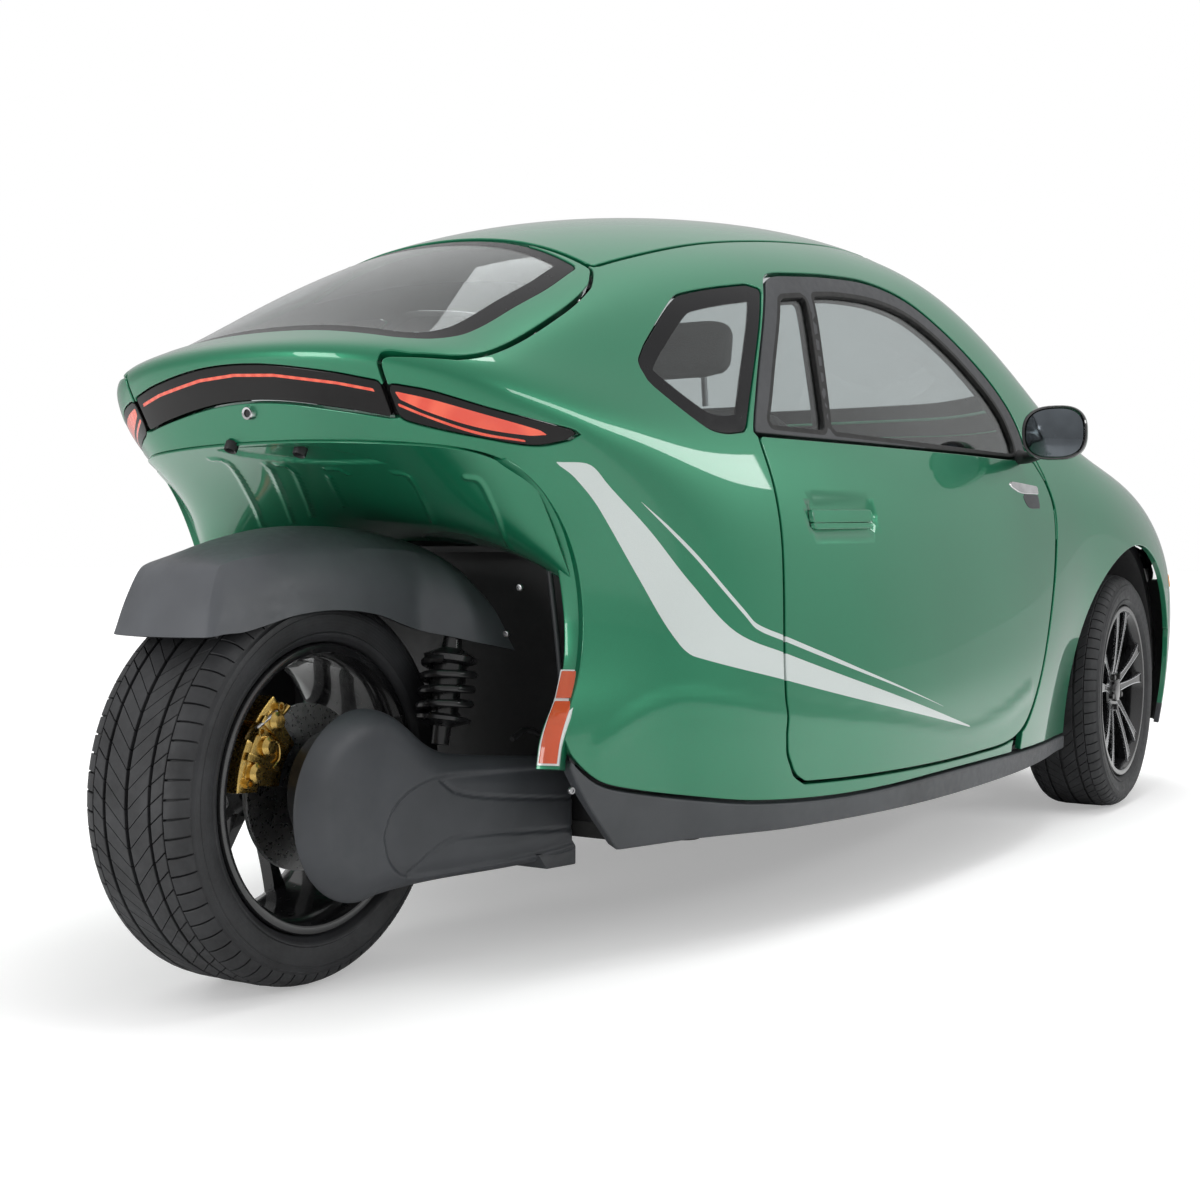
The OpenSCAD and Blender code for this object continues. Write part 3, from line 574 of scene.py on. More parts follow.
def lathe(name: str, profile: Sequence[Pair], mats: Sequence[bpy.types.Material], centre: Triple,
          axis: Triple = (0, 1, 0), steps: int = 96, tags: Sequence[int] | None = None,
          closed: bool = True) -> bpy.types.Object:
    """Turns a profile of radius and height about an axis.

    Args:
        name: Name of the piece.
        profile: Radius and height along the axis, one after another.
        mats: Materials.
        centre: Point on the axis where the height is zero.
        axis: Direction of the axis.
        steps: Facets around.
        tags: Material number of each profile step.
        closed: Whether the profile comes back to its start.

    Returns:
        The new object.
    """
    w = np.array(axis, float) / np.linalg.norm(axis)
    u = np.cross(w, [0.0, 0.0, 1.0]) if abs(w[2]) < 0.9 else np.cross(w, [1.0, 0.0, 0.0])
    u /= np.linalg.norm(u)
    v = np.cross(w, u)
    ang = np.linspace(0, 2 * math.pi, steps, endpoint=False)
    ring = np.cos(ang)[:, None] * u + np.sin(ang)[:, None] * v
    pts = np.concatenate([np.array(centre) + r * ring + h * w for r, h in profile])
    n = len(profile)
    faces, marks = [], []
    for k in range(n if closed else n - 1):
        j = (k + 1) % n
        for i in range(steps):
            q = (i + 1) % steps
            faces.append((k * steps + i, k * steps + q, j * steps + q, j * steps + i))
            marks.append(tags[k] if tags else 0)
    return tidy(solid(name, pts, faces, mats, marks))


def tube(name: str, path: Sequence[Triple], r: float | Sequence[float], mat: bpy.types.Material,
         around: int = 12, smooth: int = 4) -> bpy.types.Object:
    """Round bar along a path with closed ends.

    Args:
        name: Name of the piece.
        path: Points of its middle.
        r: Radius, one for all or one at each point.
        mat: Material.
        around: Facets around.
        smooth: Points made between two given ones.

    Returns:
        The new object.
    """
    radii = np.broadcast_to(np.asarray(r, float), (len(path),))
    line = through(np.column_stack([np.array(path, float), radii]), smooth)
    p, rad = line[:, :3], line[:, 3]
    t = np.gradient(p, axis=0)
    t /= np.linalg.norm(t, axis=1, keepdims=True)
    ref = np.array([0.0, 0.0, 1.0]) if abs(t[0, 2]) < 0.9 else np.array([0.0, 1.0, 0.0])
    rings = []
    for k in range(len(p)):
        ref = ref - t[k] * (ref @ t[k])
        ref /= np.linalg.norm(ref)
        side = np.cross(t[k], ref)
        ang = np.linspace(0, 2 * math.pi, around, endpoint=False)
        rings.append(p[k] + rad[k] * (np.cos(ang)[:, None] * ref + np.sin(ang)[:, None] * side))
    pts = np.concatenate(rings)
    faces = [(k * around + i, k * around + (i + 1) % around, (k + 1) * around + (i + 1) % around,
              (k + 1) * around + i) for k in range(len(p) - 1) for i in range(around)]
    faces += [tuple(range(around)), tuple(range((len(p) - 1) * around, len(p) * around))]
    return tidy(solid(name, pts, faces, [mat]))


def slab(name: str, loop: Sequence[Pair] | np.ndarray, plane: Plane, low: float, high: float,
         mat: bpy.types.Material, bevel: float = 0.003) -> bpy.types.Object:
    """Plate cut to a loop, with eased edges.

    Args:
        name: Name of the piece.
        loop: Its outline in metres.
        plane: Direction it is looked at from.
        low: Lower face along the third axis.
        high: Upper face along the third axis.
        mat: Material.
        bevel: Size of the eased edge.

    Returns:
        The new object.
    """
    loop = np.array(loop, float)
    third = ({0, 1, 2} - set(plane.value)).pop()
    n = len(loop)
    pts = np.zeros((2 * n, 3))
    pts[:n, list(plane.value)] = pts[n:, list(plane.value)] = loop
    pts[:n, third], pts[n:, third] = low, high
    faces = [tuple(range(n)), tuple(range(n, 2 * n))] + [
        (i, (i + 1) % n, n + (i + 1) % n, n + i) for i in range(n)]
    obj = solid(name, pts, faces, [mat])
    bm = bmesh.new()
    bm.from_mesh(obj.data)
    bmesh.ops.recalc_face_normals(bm, faces=bm.faces)
    if bevel > 0:
        edges = [e for e in bm.edges if e.calc_face_angle(0.0) > math.radians(35)]
        bmesh.ops.bevel(bm, geom=edges, offset=bevel, segments=2, affect="EDGES", profile=0.6)
    for e in bm.edges:
        e.smooth = e.calc_face_angle(0.0) < math.radians(32)
    for f in bm.faces:
        f.smooth = True
    bm.to_mesh(obj.data)
    bm.free()
    return obj


def box(name: str, low: Triple, high: Triple, mat: bpy.types.Material,
        bevel: float = 0.004) -> bpy.types.Object:
    """Block with eased edges between two corners."""
    loop = [(low[0], low[1]), (high[0], low[1]), (high[0], high[1]), (low[0], high[1])]
    return slab(name, loop, Plane.PLAN, low[2], high[2], mat, bevel)


def merged(name: str, parts: Sequence[bpy.types.Object]) -> bpy.types.Object:
    """Joins objects into one, keeping their materials."""
    mats: list[bpy.types.Material] = []
    verts: list[np.ndarray] = []
    faces: list[list[int]] = []
    tags: list[int] = []
    sharp: list[tuple[int, int]] = []
    start = 0
    for o in parts:
        me = o.data
        own = [mats.index(m) if m in mats else (mats.append(m) or len(mats) - 1) for m in me.materials]
        co = np.empty(len(me.vertices) * 3)
        me.vertices.foreach_get("co", co)
        verts.append(co.reshape(-1, 3))
        for p in me.polygons:
            faces.append([start + i for i in p.vertices])
            tags.append(own[p.material_index] if own else 0)
        sharp += [(start + e.vertices[0], start + e.vertices[1]) for e in me.edges if e.use_edge_sharp]
        start += len(me.vertices)
        bpy.data.objects.remove(o)
    out = solid(name, np.concatenate(verts) - SHIFT, faces, mats, tags)
    keyed = {tuple(sorted(e.vertices)): e.index for e in out.data.edges}
    for a, b in sharp:
        out.data.edges[keyed[tuple(sorted((a, b)))]].use_edge_sharp = True
    return out


def mirrored_copy(obj: bpy.types.Object, name: str) -> bpy.types.Object:
    """Copy of a piece on the other side of the car, faces outwards."""
    mesh = obj.data.copy()
    new = bpy.data.objects.new(name, mesh)
    bpy.context.scene.collection.objects.link(new)
    normals = None
    if mesh.has_custom_normals:
        normals = np.empty(len(mesh.loops) * 3)
        mesh.corner_normals.foreach_get("vector", normals)
        normals = normals.reshape(-1, 3) * [1, -1, 1]
        counts = np.empty(len(mesh.polygons), int)
        mesh.polygons.foreach_get("loop_total", counts)
        if (counts == 3).all():
            normals = normals.reshape(-1, 3, 3)[:, ::-1].reshape(-1, 3)
    co = np.empty(len(mesh.vertices) * 3)
    mesh.vertices.foreach_get("co", co)
    co[1::3] *= -1
    mesh.vertices.foreach_set("co", co)
    mesh.flip_normals()
    mesh.update()
    if normals is not None:
        # turning a triangle round keeps its first corner and swaps the others
        n = normals.reshape(-1, 3, 3)
        loops = np.empty(len(mesh.loops), int)
        mesh.loops.foreach_get("vertex_index", loops)
        old = np.empty(len(obj.data.loops), int)
        obj.data.loops.foreach_get("vertex_index", old)
        new_t, old_t = loops.reshape(-1, 3), old.reshape(-1, 3)[:, ::-1]
        shift = (new_t[:, :1] == old_t).argmax(1)
        n = n[np.arange(len(n))[:, None], (shift[:, None] + np.arange(3)) % 3]
        mesh.normals_split_custom_set(n.reshape(-1, 3).tolist())
    return new


# ---- finishes --------------------------------------------------------------
class Nodes:
    """Short way to build a node material on Object coordinates."""

    def __init__(self, name: str) -> None:
        """Makes an empty material with a Principled shader."""
        self.mat = bpy.data.materials.new(name)
        self.mat.use_nodes = True
        self.tree = self.mat.node_tree
        self.shader = self.tree.nodes["Principled BSDF"]
        self.place = self.add("ShaderNodeTexCoord").outputs["Object"]

    def add(self, kind: str, **values: object) -> bpy.types.Node:
        """New node with its own settings.

        Args:
            kind: Type name of the node.
            values: Settings of the node.

        Returns:
            The node.
        """
        node = self.tree.nodes.new(kind)
        for key, value in values.items():
            setattr(node, key, value)
        return node

    def link(self, a: bpy.types.NodeSocket, b: bpy.types.NodeSocket) -> None:
        """Joins two sockets."""
        self.tree.links.new(a, b)

    def noise(self, scale: float, detail: float = 3.0,
              vector: bpy.types.NodeSocket | None = None) -> bpy.types.NodeSocket:
        """Grey noise."""
        node = self.add("ShaderNodeTexNoise")
        node.inputs["Scale"].default_value = scale
        node.inputs["Detail"].default_value = detail
        self.link(vector or self.place, node.inputs["Vector"])
        return node.outputs["Fac"]

    def cells(self, scale: float, vector: bpy.types.NodeSocket | None = None) -> bpy.types.NodeSocket:
        """Distance to the middle of random cells."""
        node = self.add("ShaderNodeTexVoronoi")
        node.inputs["Scale"].default_value = scale
        self.link(vector or self.place, node.inputs["Vector"])
        return node.outputs["Distance"]

    def spread(self, value: bpy.types.NodeSocket, low: float, high: float, a: float = 0.0,
               b: float = 1.0) -> bpy.types.NodeSocket:
        """Maps low..high onto a..b."""
        node = self.add("ShaderNodeMapRange")
        for key, number in (("From Min", low), ("From Max", high), ("To Min", a), ("To Max", b)):
            node.inputs[key].default_value = number
        self.link(value, node.inputs["Value"])
        return node.outputs["Result"]

    def tint(self, value: bpy.types.NodeSocket, a: Triple, b: Triple) -> bpy.types.NodeSocket:
        """Colour between a and b."""
        node = self.add("ShaderNodeMix", data_type="RGBA")
        node.inputs["A"].default_value = (*a, 1)
        node.inputs["B"].default_value = (*b, 1)
        self.link(value, node.inputs["Factor"])
        return node.outputs["Result"]

    def bump(self, value: bpy.types.NodeSocket, strength: float, distance: float) -> None:
        """Raises the surface by a value."""
        node = self.add("ShaderNodeBump")
        node.inputs["Strength"].default_value = strength
        node.inputs["Distance"].default_value = distance
        before = self.shader.inputs["Normal"].links
        if before:
            self.link(before[0].from_socket, node.inputs["Normal"])
        self.link(value, node.inputs["Height"])
        self.link(node.outputs["Normal"], self.shader.inputs["Normal"])

    def set(self, **values: float) -> None:
        """Puts numbers on the shader's own sockets."""
        for key, value in values.items():
            self.shader.inputs[key.replace("_", " ")].default_value = value


@dataclass(frozen=True)
class Lacquer:
    """Metal flake or plain lacquer under a clear coat."""

    name: str
    dark: Triple
    light: Triple
    metallic: float = 0.55
    rough: float = 0.34
    flake: float = 0.35

    def build(self) -> bpy.types.Material:
        """Makes the material."""
        n = Nodes(self.name)
        flakes = n.cells(2600.0)
        cloud = n.noise(2.2, 2.0)
        both = n.add("ShaderNodeMath", operation="MULTIPLY")
        n.link(n.spread(flakes, 0.1, 0.7, 0.0, 1.0), both.inputs[0])
        n.link(n.spread(cloud, 0.3, 0.7, 0.7, 1.0), both.inputs[1])
        n.link(n.tint(both.outputs[0], self.dark, self.light), n.shader.inputs["Base Color"])
        n.link(n.spread(flakes, 0.0, 0.8, self.rough - 0.04, self.rough + 0.06),
               n.shader.inputs["Roughness"])
        n.bump(n.noise(900.0, 1.0), 0.02 * self.flake, 0.001)
        n.set(Metallic=self.metallic, Coat_Weight=1.0, Coat_Roughness=0.025, Coat_IOR=1.5)
        return n.mat


@dataclass(frozen=True)
class Plastic:
    """Moulded plastic with a fine grain."""

    name: str
    colour: Triple
    rough: float = 0.5
    grain: float = 0.25
    grain_scale: float = 900.0
    coat: float = 0.0
    metallic: float = 0.0
    fade: float = 0.22
    shine: float = 0.5

    def build(self) -> bpy.types.Material:
        """Makes the material."""
        n = Nodes(self.name)
        c = self.colour
        cloud = n.noise(5.0, 4.0)
        lighter = tuple(min(1.0, v * (1 + self.fade) + 0.002) for v in c)
        darker = tuple(v * (1 - self.fade) for v in c)
        n.link(n.tint(n.spread(cloud, 0.3, 0.7), darker, lighter), n.shader.inputs["Base Color"])
        n.link(n.spread(n.noise(60.0, 5.0), 0.3, 0.7, self.rough - 0.05, self.rough + 0.06),
               n.shader.inputs["Roughness"])
        if self.grain:
            n.bump(n.cells(self.grain_scale), self.grain, 0.0006)
        n.set(Metallic=self.metallic, Coat_Weight=self.coat, Coat_Roughness=0.03,
              Specular_IOR_Level=self.shine)
        return n.mat


@dataclass(frozen=True)
class Metal:
    """Bare or plated metal."""

    name: str
    colour: Triple
    rough: float = 0.3
    cast: float = 0.0
    turned: Triple | None = None
    coat: float = 0.0

    def build(self) -> bpy.types.Material:
        """Makes the material."""
        n = Nodes(self.name)
        c = self.colour
        dark = tuple(v * 0.8 for v in c)
        n.link(n.tint(n.spread(n.noise(18.0, 5.0), 0.35, 0.65), dark, c), n.shader.inputs["Base Color"])
        n.link(n.spread(n.noise(220.0, 4.0), 0.3, 0.7, self.rough - 0.06, self.rough + 0.08),
               n.shader.inputs["Roughness"])
        if self.cast:
            n.bump(n.noise(420.0, 4.0), self.cast, 0.0008)
        if self.turned is not None:
            move = n.add("ShaderNodeMapping", vector_type="POINT")
            centre = np.array(self.turned) + SHIFT
            move.inputs["Location"].default_value = tuple(-centre)
            n.link(n.place, move.inputs["Vector"])
            rings = n.add("ShaderNodeTexWave", wave_type="RINGS", rings_direction="Y")
            rings.inputs["Scale"].default_value = 260.0
            rings.inputs["Distortion"].default_value = 0.4
            n.link(move.outputs[0], rings.inputs["Vector"])
            n.bump(rings.outputs["Fac"], 0.25, 0.0003)
        n.set(Metallic=1.0, Coat_Weight=self.coat, Coat_Roughness=0.05)
        return n.mat


@dataclass(frozen=True)
class Rubber:
    """Tyre rubber, a little dusty in random patches."""

    name: str
    colour: Triple = (0.012, 0.0125, 0.014)
    rough: float = 0.52
    rings: Triple | None = None

    def build(self) -> bpy.types.Material:
        """Makes the material."""
        n = Nodes(self.name)
        light = tuple(v * 1.9 + 0.002 for v in self.colour)
        n.link(n.tint(n.spread(n.noise(14.0, 6.0), 0.35, 0.7), self.colour, light),
               n.shader.inputs["Base Color"])
        n.link(n.spread(n.noise(90.0, 4.0), 0.3, 0.7, self.rough - 0.08, self.rough + 0.08),
               n.shader.inputs["Roughness"])
        n.bump(n.noise(700.0, 3.0), 0.18, 0.0008)
        if self.rings is not None:
            move = n.add("ShaderNodeMapping", vector_type="POINT")
            move.inputs["Location"].default_value = tuple(-(np.array(self.rings) + SHIFT))
            n.link(n.place, move.inputs["Vector"])
            wave = n.add("ShaderNodeTexWave", wave_type="RINGS", rings_direction="Y")
            wave.inputs["Scale"].default_value = 60.0
            n.link(move.outputs[0], wave.inputs["Vector"])
            n.bump(wave.outputs["Fac"], 0.12, 0.0006)
        return n.mat


@dataclass(frozen=True)
class Glass:
    """Tinted window glass."""

    name: str
    colour: Triple
    ior: float = 1.45

    def build(self) -> bpy.types.Material:
        """Makes the material."""
        n = Nodes(self.name)
        dim = tuple(v * 0.93 for v in self.colour)
        n.link(n.tint(n.spread(n.noise(1.6, 2.0), 0.3, 0.7), dim, self.colour),
               n.shader.inputs["Base Color"])
        n.link(n.spread(n.noise(30.0, 3.0), 0.2, 0.8, 0.0, 0.012), n.shader.inputs["Roughness"])
        n.set(Transmission_Weight=1.0, IOR=self.ior, Specular_IOR_Level=0.5)
        return n.mat


@dataclass(frozen=True)
class Lens:
    """Coloured lamp lens with fine optics behind a smooth face."""

    name: str
    dark: Triple
    light: Triple
    pitch: float = 120.0
    glow: float = 0.0
    rough: float = 0.14

    def build(self) -> bpy.types.Material:
        """Makes the material."""
        n = Nodes(self.name)
        wave = n.add("ShaderNodeTexWave", wave_type="BANDS", bands_direction="DIAGONAL")
        wave.inputs["Scale"].default_value = self.pitch
        n.link(n.place, wave.inputs["Vector"])
        mixed = n.tint(n.spread(wave.outputs["Fac"], 0.1, 0.9), self.dark, self.light)
        n.link(mixed, n.shader.inputs["Base Color"])
        n.link(n.spread(n.noise(200.0, 2.0), 0.3, 0.7, self.rough, self.rough + 0.08),
               n.shader.inputs["Roughness"])
        n.bump(wave.outputs["Fac"], 0.25, 0.0008)
        if self.glow:
            n.link(mixed, n.shader.inputs["Emission Color"])
            n.set(Emission_Strength=self.glow)
        n.set(Coat_Weight=1.0, Coat_Roughness=0.02)
        return n.mat


@dataclass(frozen=True)
class Cloth:
    """Woven trim cloth."""

    name: str
    dark: Triple
    light: Triple
    threads: float = 420.0

    def build(self) -> bpy.types.Material:
        """Makes the material."""
        n = Nodes(self.name)
        warp = n.add("ShaderNodeTexWave", wave_type="BANDS", bands_direction="Z")
        weft = n.add("ShaderNodeTexWave", wave_type="BANDS", bands_direction="Y")
        for node in (warp, weft):
            node.inputs["Scale"].default_value = self.threads
            node.inputs["Distortion"].default_value = 0.6
            n.link(n.place, node.inputs["Vector"])
        both = n.add("ShaderNodeMath", operation="MAXIMUM")
        n.link(warp.outputs["Fac"], both.inputs[0])
        n.link(weft.outputs["Fac"], both.inputs[1])
        n.link(n.tint(both.outputs[0], self.dark, self.light), n.shader.inputs["Base Color"])
        n.link(n.spread(n.noise(50.0, 3.0), 0.3, 0.7, 0.8, 0.95), n.shader.inputs["Roughness"])
        n.bump(both.outputs[0], 0.3, 0.0008)
        n.set(Sheen_Weight=0.3, Sheen_Roughness=0.4)
        return n.mat


class Finishes:
    """Every finish of the car, made once."""

    def __init__(self) -> None:
        """Builds the materials."""
        self.paint = Lacquer("green_paint", (0.004, 0.135, 0.062), (0.012, 0.26, 0.125)).build()
        self.stripe = Lacquer("silver_white_stripe", (0.56, 0.62, 0.60), (0.72, 0.78, 0.76), 0.15, 0.36,
                              0.2).build()
        self.charcoal = Plastic("charcoal_satin", (0.050, 0.054, 0.060), 0.42, 0.18, 1500.0).build()
        self.frame_grey = Plastic("window_frame_grey", (0.034, 0.036, 0.040), 0.42, 0.1, 1400.0).build()
        self.arm = Plastic("arm_cover_grey", (0.052, 0.056, 0.063), 0.46, 0.06, 1400.0).build()
        self.fender = Plastic("fender_grey", (0.078, 0.083, 0.092), 0.44, 0.08, 1400.0).build()
        self.bezel = Plastic("bright_bezel", (0.62, 0.66, 0.65), 0.16, 0.0, coat=1.0).build()
        self.black = Plastic("black_plastic", (0.012, 0.012, 0.013), 0.45, 0.3, 800.0).build()
        self.piano = Plastic("gloss_black", (0.006, 0.006, 0.007), 0.1, 0.0, coat=1.0).build()
        self.frit = Plastic("window_border", (0.005, 0.005, 0.006), 0.22, 0.0, shine=0.22).build()
        self.seal = Plastic("rubber_seal", (0.009, 0.009, 0.009), 0.6, 0.2, 1200.0).build()
        self.trim = Plastic("cabin_trim", (0.028, 0.028, 0.030), 0.62, 0.4, 500.0).build()
        self.liner = Plastic("inner_wall", (0.010, 0.011, 0.011), 0.7, 0.3, 300.0).build()
        self.window = Glass("tinted_glass", (0.62, 0.66, 0.66)).build()
        self.clear = Glass("clear_lens", (0.96, 0.97, 0.97)).build()
        self.red = Lens("red_lens", (0.80, 0.060, 0.022), (0.92, 0.11, 0.045), 30.0, 0.12).build()
        self.reflector = Lens("reflector_lens", (0.42, 0.035, 0.006), (0.78, 0.115, 0.02), 320.0).build()
        self.amber = Lens("amber_lens", (0.75, 0.22, 0.01), (0.95, 0.36, 0.03), 200.0).build()
        self.smoke = Plastic("smoked_lens", (0.006, 0.005, 0.005), 0.16, 0.0, shine=0.3).build()
        self.chrome = Metal("bright_trim", (0.82, 0.83, 0.84), 0.12).build()
        self.machined = Metal("machined_face", (0.72, 0.73, 0.75), 0.24).build()
        self.rim_black = Plastic("wheel_black", (0.008, 0.008, 0.009), 0.22, 0.05, 700.0, coat=0.8).build()
        self.steel = Metal("steel", (0.42, 0.42, 0.43), 0.34, 0.05).build()
        self.dark_steel = Plastic(
            "black_steel", (0.015, 0.015, 0.016), 0.3, 0.1, 600.0, coat=0.5, metallic=0.3).build()
        self.disc = Metal("brake_disc", (0.5, 0.5, 0.5), 0.3, 0.0, (0.0, 0.0, 0.32)).build()
        self.cast = Metal("cast_metal", (0.3, 0.3, 0.31), 0.5, 0.5).build()
        self.gold = Metal("gold_caliper", (0.62, 0.42, 0.12), 0.27, 0.12, coat=0.4).build()
        self.tyre = Rubber("tyre_side", rings=(0.0, 0.0, 0.32)).build()
        self.tyre_front = Rubber("tyre_side_front", rings=(2.605, 0.0, 0.32)).build()
        self.tread = Rubber("tyre_tread", (0.017, 0.0175, 0.019), 0.6).build()
        self.seat_cloth = Cloth("seat_cloth", (0.016, 0.016, 0.018), (0.05, 0.05, 0.055)).build()
        self.seat_side = Plastic("seat_leather", (0.022, 0.022, 0.024), 0.55, 0.6, 260.0).build()
        self.carpet = Cloth("carpet", (0.012, 0.012, 0.012), (0.03, 0.03, 0.03), 900.0).build()
        self.roof_cloth = Cloth("headliner", (0.20, 0.20, 0.20), (0.30, 0.30, 0.30), 700.0).build()
        self.mirror = Metal("mirror_glass", (0.16, 0.18, 0.20), 0.08).build()
        self.indicator = Plastic("gauge_face", (0.02, 0.05, 0.07), 0.12, 0.0, coat=1.0).build()


# ---- body form, in millimetres from the rear axle ---------------------------
# Stations of the outer skin from tail to nose, each from the centre line out and down to the sill.
NET: list[list[Triple]] = [
    [(-35, 0, 880), (-28, 150, 877), (-6, 280, 870), (52, 350, 862), (117, 386, 845), (182, 412, 800),
     (246, 428, 710), (278, 427, 600), (257, 431, 480), (171, 428, 385), (363, 435, 200)],
    [(-62, 0, 935), (-56, 150, 932), (-34, 280, 925), (14, 362, 912), (90, 418, 890), (215, 441, 830),
     (305, 454, 725), (348, 455, 600), (334, 462, 480), (273, 462, 385), (438, 462, 200)],
    [(-100, 0, 985), (-94, 150, 982), (-66, 272, 974), (-14, 362, 958), (80, 425, 930), (217, 472, 865),
     (345, 477, 745), (401, 480, 605), (400, 490, 480), (385, 494, 380), (514, 486, 200)],
    [(-120, 0, 1026), (-112, 150, 1022), (-80, 272, 1012), (-22, 360, 994), (85, 422, 968), (240, 486, 902),
     (383, 501, 765), (448, 510, 610), (448, 522, 480), (443, 527, 375), (565, 513, 200)],
    [(-20, 0, 1050), (-8, 160, 1048), (40, 300, 1038), (95, 375, 1022), (180, 428, 995), (320, 492, 925),
     (460, 528, 785), (530, 543, 620), (530, 558, 480), (527, 564, 370), (642, 543, 198)],
    [(180, 0, 1170), (185, 170, 1160), (220, 310, 1125), (260, 400, 1080), (330, 445, 1020),
     (440, 500, 935), (574, 551, 800), (644, 577, 630), (645, 592, 480), (643, 597, 365), (720, 575, 196)],
    [(480, 0, 1305), (480, 190, 1285), (490, 340, 1225), (510, 430, 1150), (560, 480, 1050),
     (640, 530, 940), (764, 577, 805), (827, 607, 640), (828, 625, 480), (827, 630, 360), (867, 606, 194)],
    [(850, 0, 1395), (850, 200, 1372), (850, 370, 1310), (850, 465, 1230), (870, 515, 1100),
     (920, 565, 950), (980, 608, 810), (1020, 640, 640), (1020, 658, 480), (1020, 662, 355),
     (1040, 640, 192)],
    [(1200, 0, 1445), (1200, 210, 1424), (1200, 385, 1366), (1200, 482, 1285), (1200, 538, 1125),
     (1220, 595, 960), (1240, 636, 815), (1260, 664, 640), (1260, 680, 480), (1260, 684, 352),
     (1260, 664, 190)],
    [(1500, 0, 1468), (1500, 210, 1446), (1500, 390, 1392), (1500, 488, 1312), (1500, 555, 1130),
     (1520, 620, 965), (1520, 660, 818), (1520, 686, 640), (1520, 696, 480), (1520, 694, 352),
     (1500, 676, 190)],
    [(1790, 0, 1430), (1790, 220, 1412), (1795, 415, 1365), (1790, 520, 1295), (1780, 592, 1130),
     (1780, 642, 965), (1780, 682, 820), (1780, 702, 640), (1780, 706, 480), (1780, 702, 355),
     (1760, 685, 192)],
    [(2110, 0, 1275), (2100, 230, 1255), (2080, 450, 1215), (2050, 570, 1175), (2010, 636, 1060),
     (2000, 668, 945), (2020, 704, 825), (2030, 714, 640), (2030, 706, 480), (2030, 694, 360),
     (2010, 676, 196)],
    [(2360, 0, 1085), (2340, 240, 1070), (2290, 470, 1045), (2240, 605, 1025), (2210, 668, 985),
     (2200, 702, 900), (2230, 728, 800), (2250, 712, 640), (2250, 680, 480), (2250, 658, 360),
     (2230, 642, 200)],
    [(2540, 0, 965), (2510, 250, 960), (2450, 470, 960), (2430, 600, 950), (2440, 680, 940),
     (2450, 725, 885), (2460, 748, 790), (2470, 742, 660), (2470, 715, 500), (2470, 690, 360),
     (2450, 672, 200)],
    [(2780, 0, 900), (2770, 250, 905), (2740, 460, 915), (2730, 592, 920), (2730, 672, 898),
     (2730, 725, 848), (2730, 752, 760), (2730, 762, 650), (2730, 755, 500), (2730, 748, 350),
     (2720, 735, 200)],
    [(3020, 0, 820), (3010, 250, 828), (2990, 450, 850), (2990, 580, 845), (2990, 660, 820),
     (2990, 712, 768), (2990, 740, 690), (2970, 750, 580), (2970, 748, 440), (2970, 740, 310),
     (2960, 725, 200)],
    [(3200, 0, 715), (3190, 240, 722), (3165, 430, 730), (3155, 555, 722), (3145, 630, 700),
     (3140, 685, 655), (3130, 718, 585), (3120, 728, 490), (3100, 722, 380), (3095, 712, 290),
     (3080, 700, 200)],
    [(3270, 0, 540), (3262, 230, 545), (3235, 400, 545), (3205, 510, 530), (3185, 580, 500),
     (3165, 630, 470), (3150, 665, 430), (3140, 680, 380), (3130, 685, 320), (3125, 682, 265),
     (3110, 672, 200)],
    [(3280, 0, 340), (3272, 220, 340), (3245, 380, 340), (3215, 480, 335), (3195, 545, 325),
     (3175, 595, 310), (3160, 630, 295), (3150, 645, 280), (3142, 650, 260), (3135, 650, 235),
     (3125, 645, 200)],
    [(3240, 0, 195), (3232, 200, 195), (3208, 350, 195), (3180, 450, 195), (3162, 515, 195),
     (3147, 560, 195), (3137, 590, 195), (3132, 605, 195), (3130, 612, 195), (3128, 616, 195),
     (3126, 620, 195)]]
# Stations of the tail underside, from the light forward.
TAIL: list[list[Triple]] = [
    [(-33, 0, 874), (-26, 150, 871), (-4, 276, 864), (45, 350, 858), (130, 376, 838), (184, 402, 796)],
    [(62, 0, 832), (66, 150, 826), (82, 256, 812), (122, 328, 795), (188, 374, 768), (229, 406, 728)],
    [(170, 0, 775), (172, 150, 764), (180, 256, 742), (205, 332, 716), (236, 384, 682), (268, 410, 640)],
    [(290, 0, 742), (290, 150, 730), (290, 262, 700), (296, 342, 664), (308, 392, 628), (320, 422, 585)],
    [(392, 0, 725), (392, 150, 712), (392, 266, 678), (392, 350, 634), (392, 402, 592), (393, 438, 548)]]
DOOR = Outline([(680, 912), (700, 821), (705, 737), (698, 643), (680, 470), (690, 344), (722, 292),
                (764, 275), (1114, 264), (1485, 262), (1690, 270), (1790, 306), (1868, 398), (1924, 531),
                (1970, 705), (1979, 805), (1955, 866), (1905, 922)], Plane.SIDE)
FRAME = Outline([(668, 912), (690, 955), (759, 1065), (870, 1214), (905, 1238), (995, 1253), (1161, 1271),
                 (1337, 1280), (1498, 1261), (1637, 1205), (1771, 1119), (1842, 1050), (1874, 990),
                 (1880, 922)], Plane.SIDE)
REAR_PANE = Outline(
    [(728, 935), (752, 970), (812, 1062), (905, 1190), (1000, 1205), (958, 1080), (918, 935)], Plane.SIDE)
FRONT_PANE = Outline([(946, 935), (992, 1080), (1040, 1212), (1161, 1226), (1337, 1233), (1480, 1217),
                      (1610, 1165), (1730, 1085), (1795, 1020), (1815, 960), (1812, 932)], Plane.SIDE)
QUARTER = Outline([(392, 1018), (432, 1056), (538, 1135), (590, 1162), (800, 1206), (848, 1204),
                   (828, 1178), (700, 1000), (645, 916), (579, 910), (526, 919), (408, 985)], Plane.SIDE)
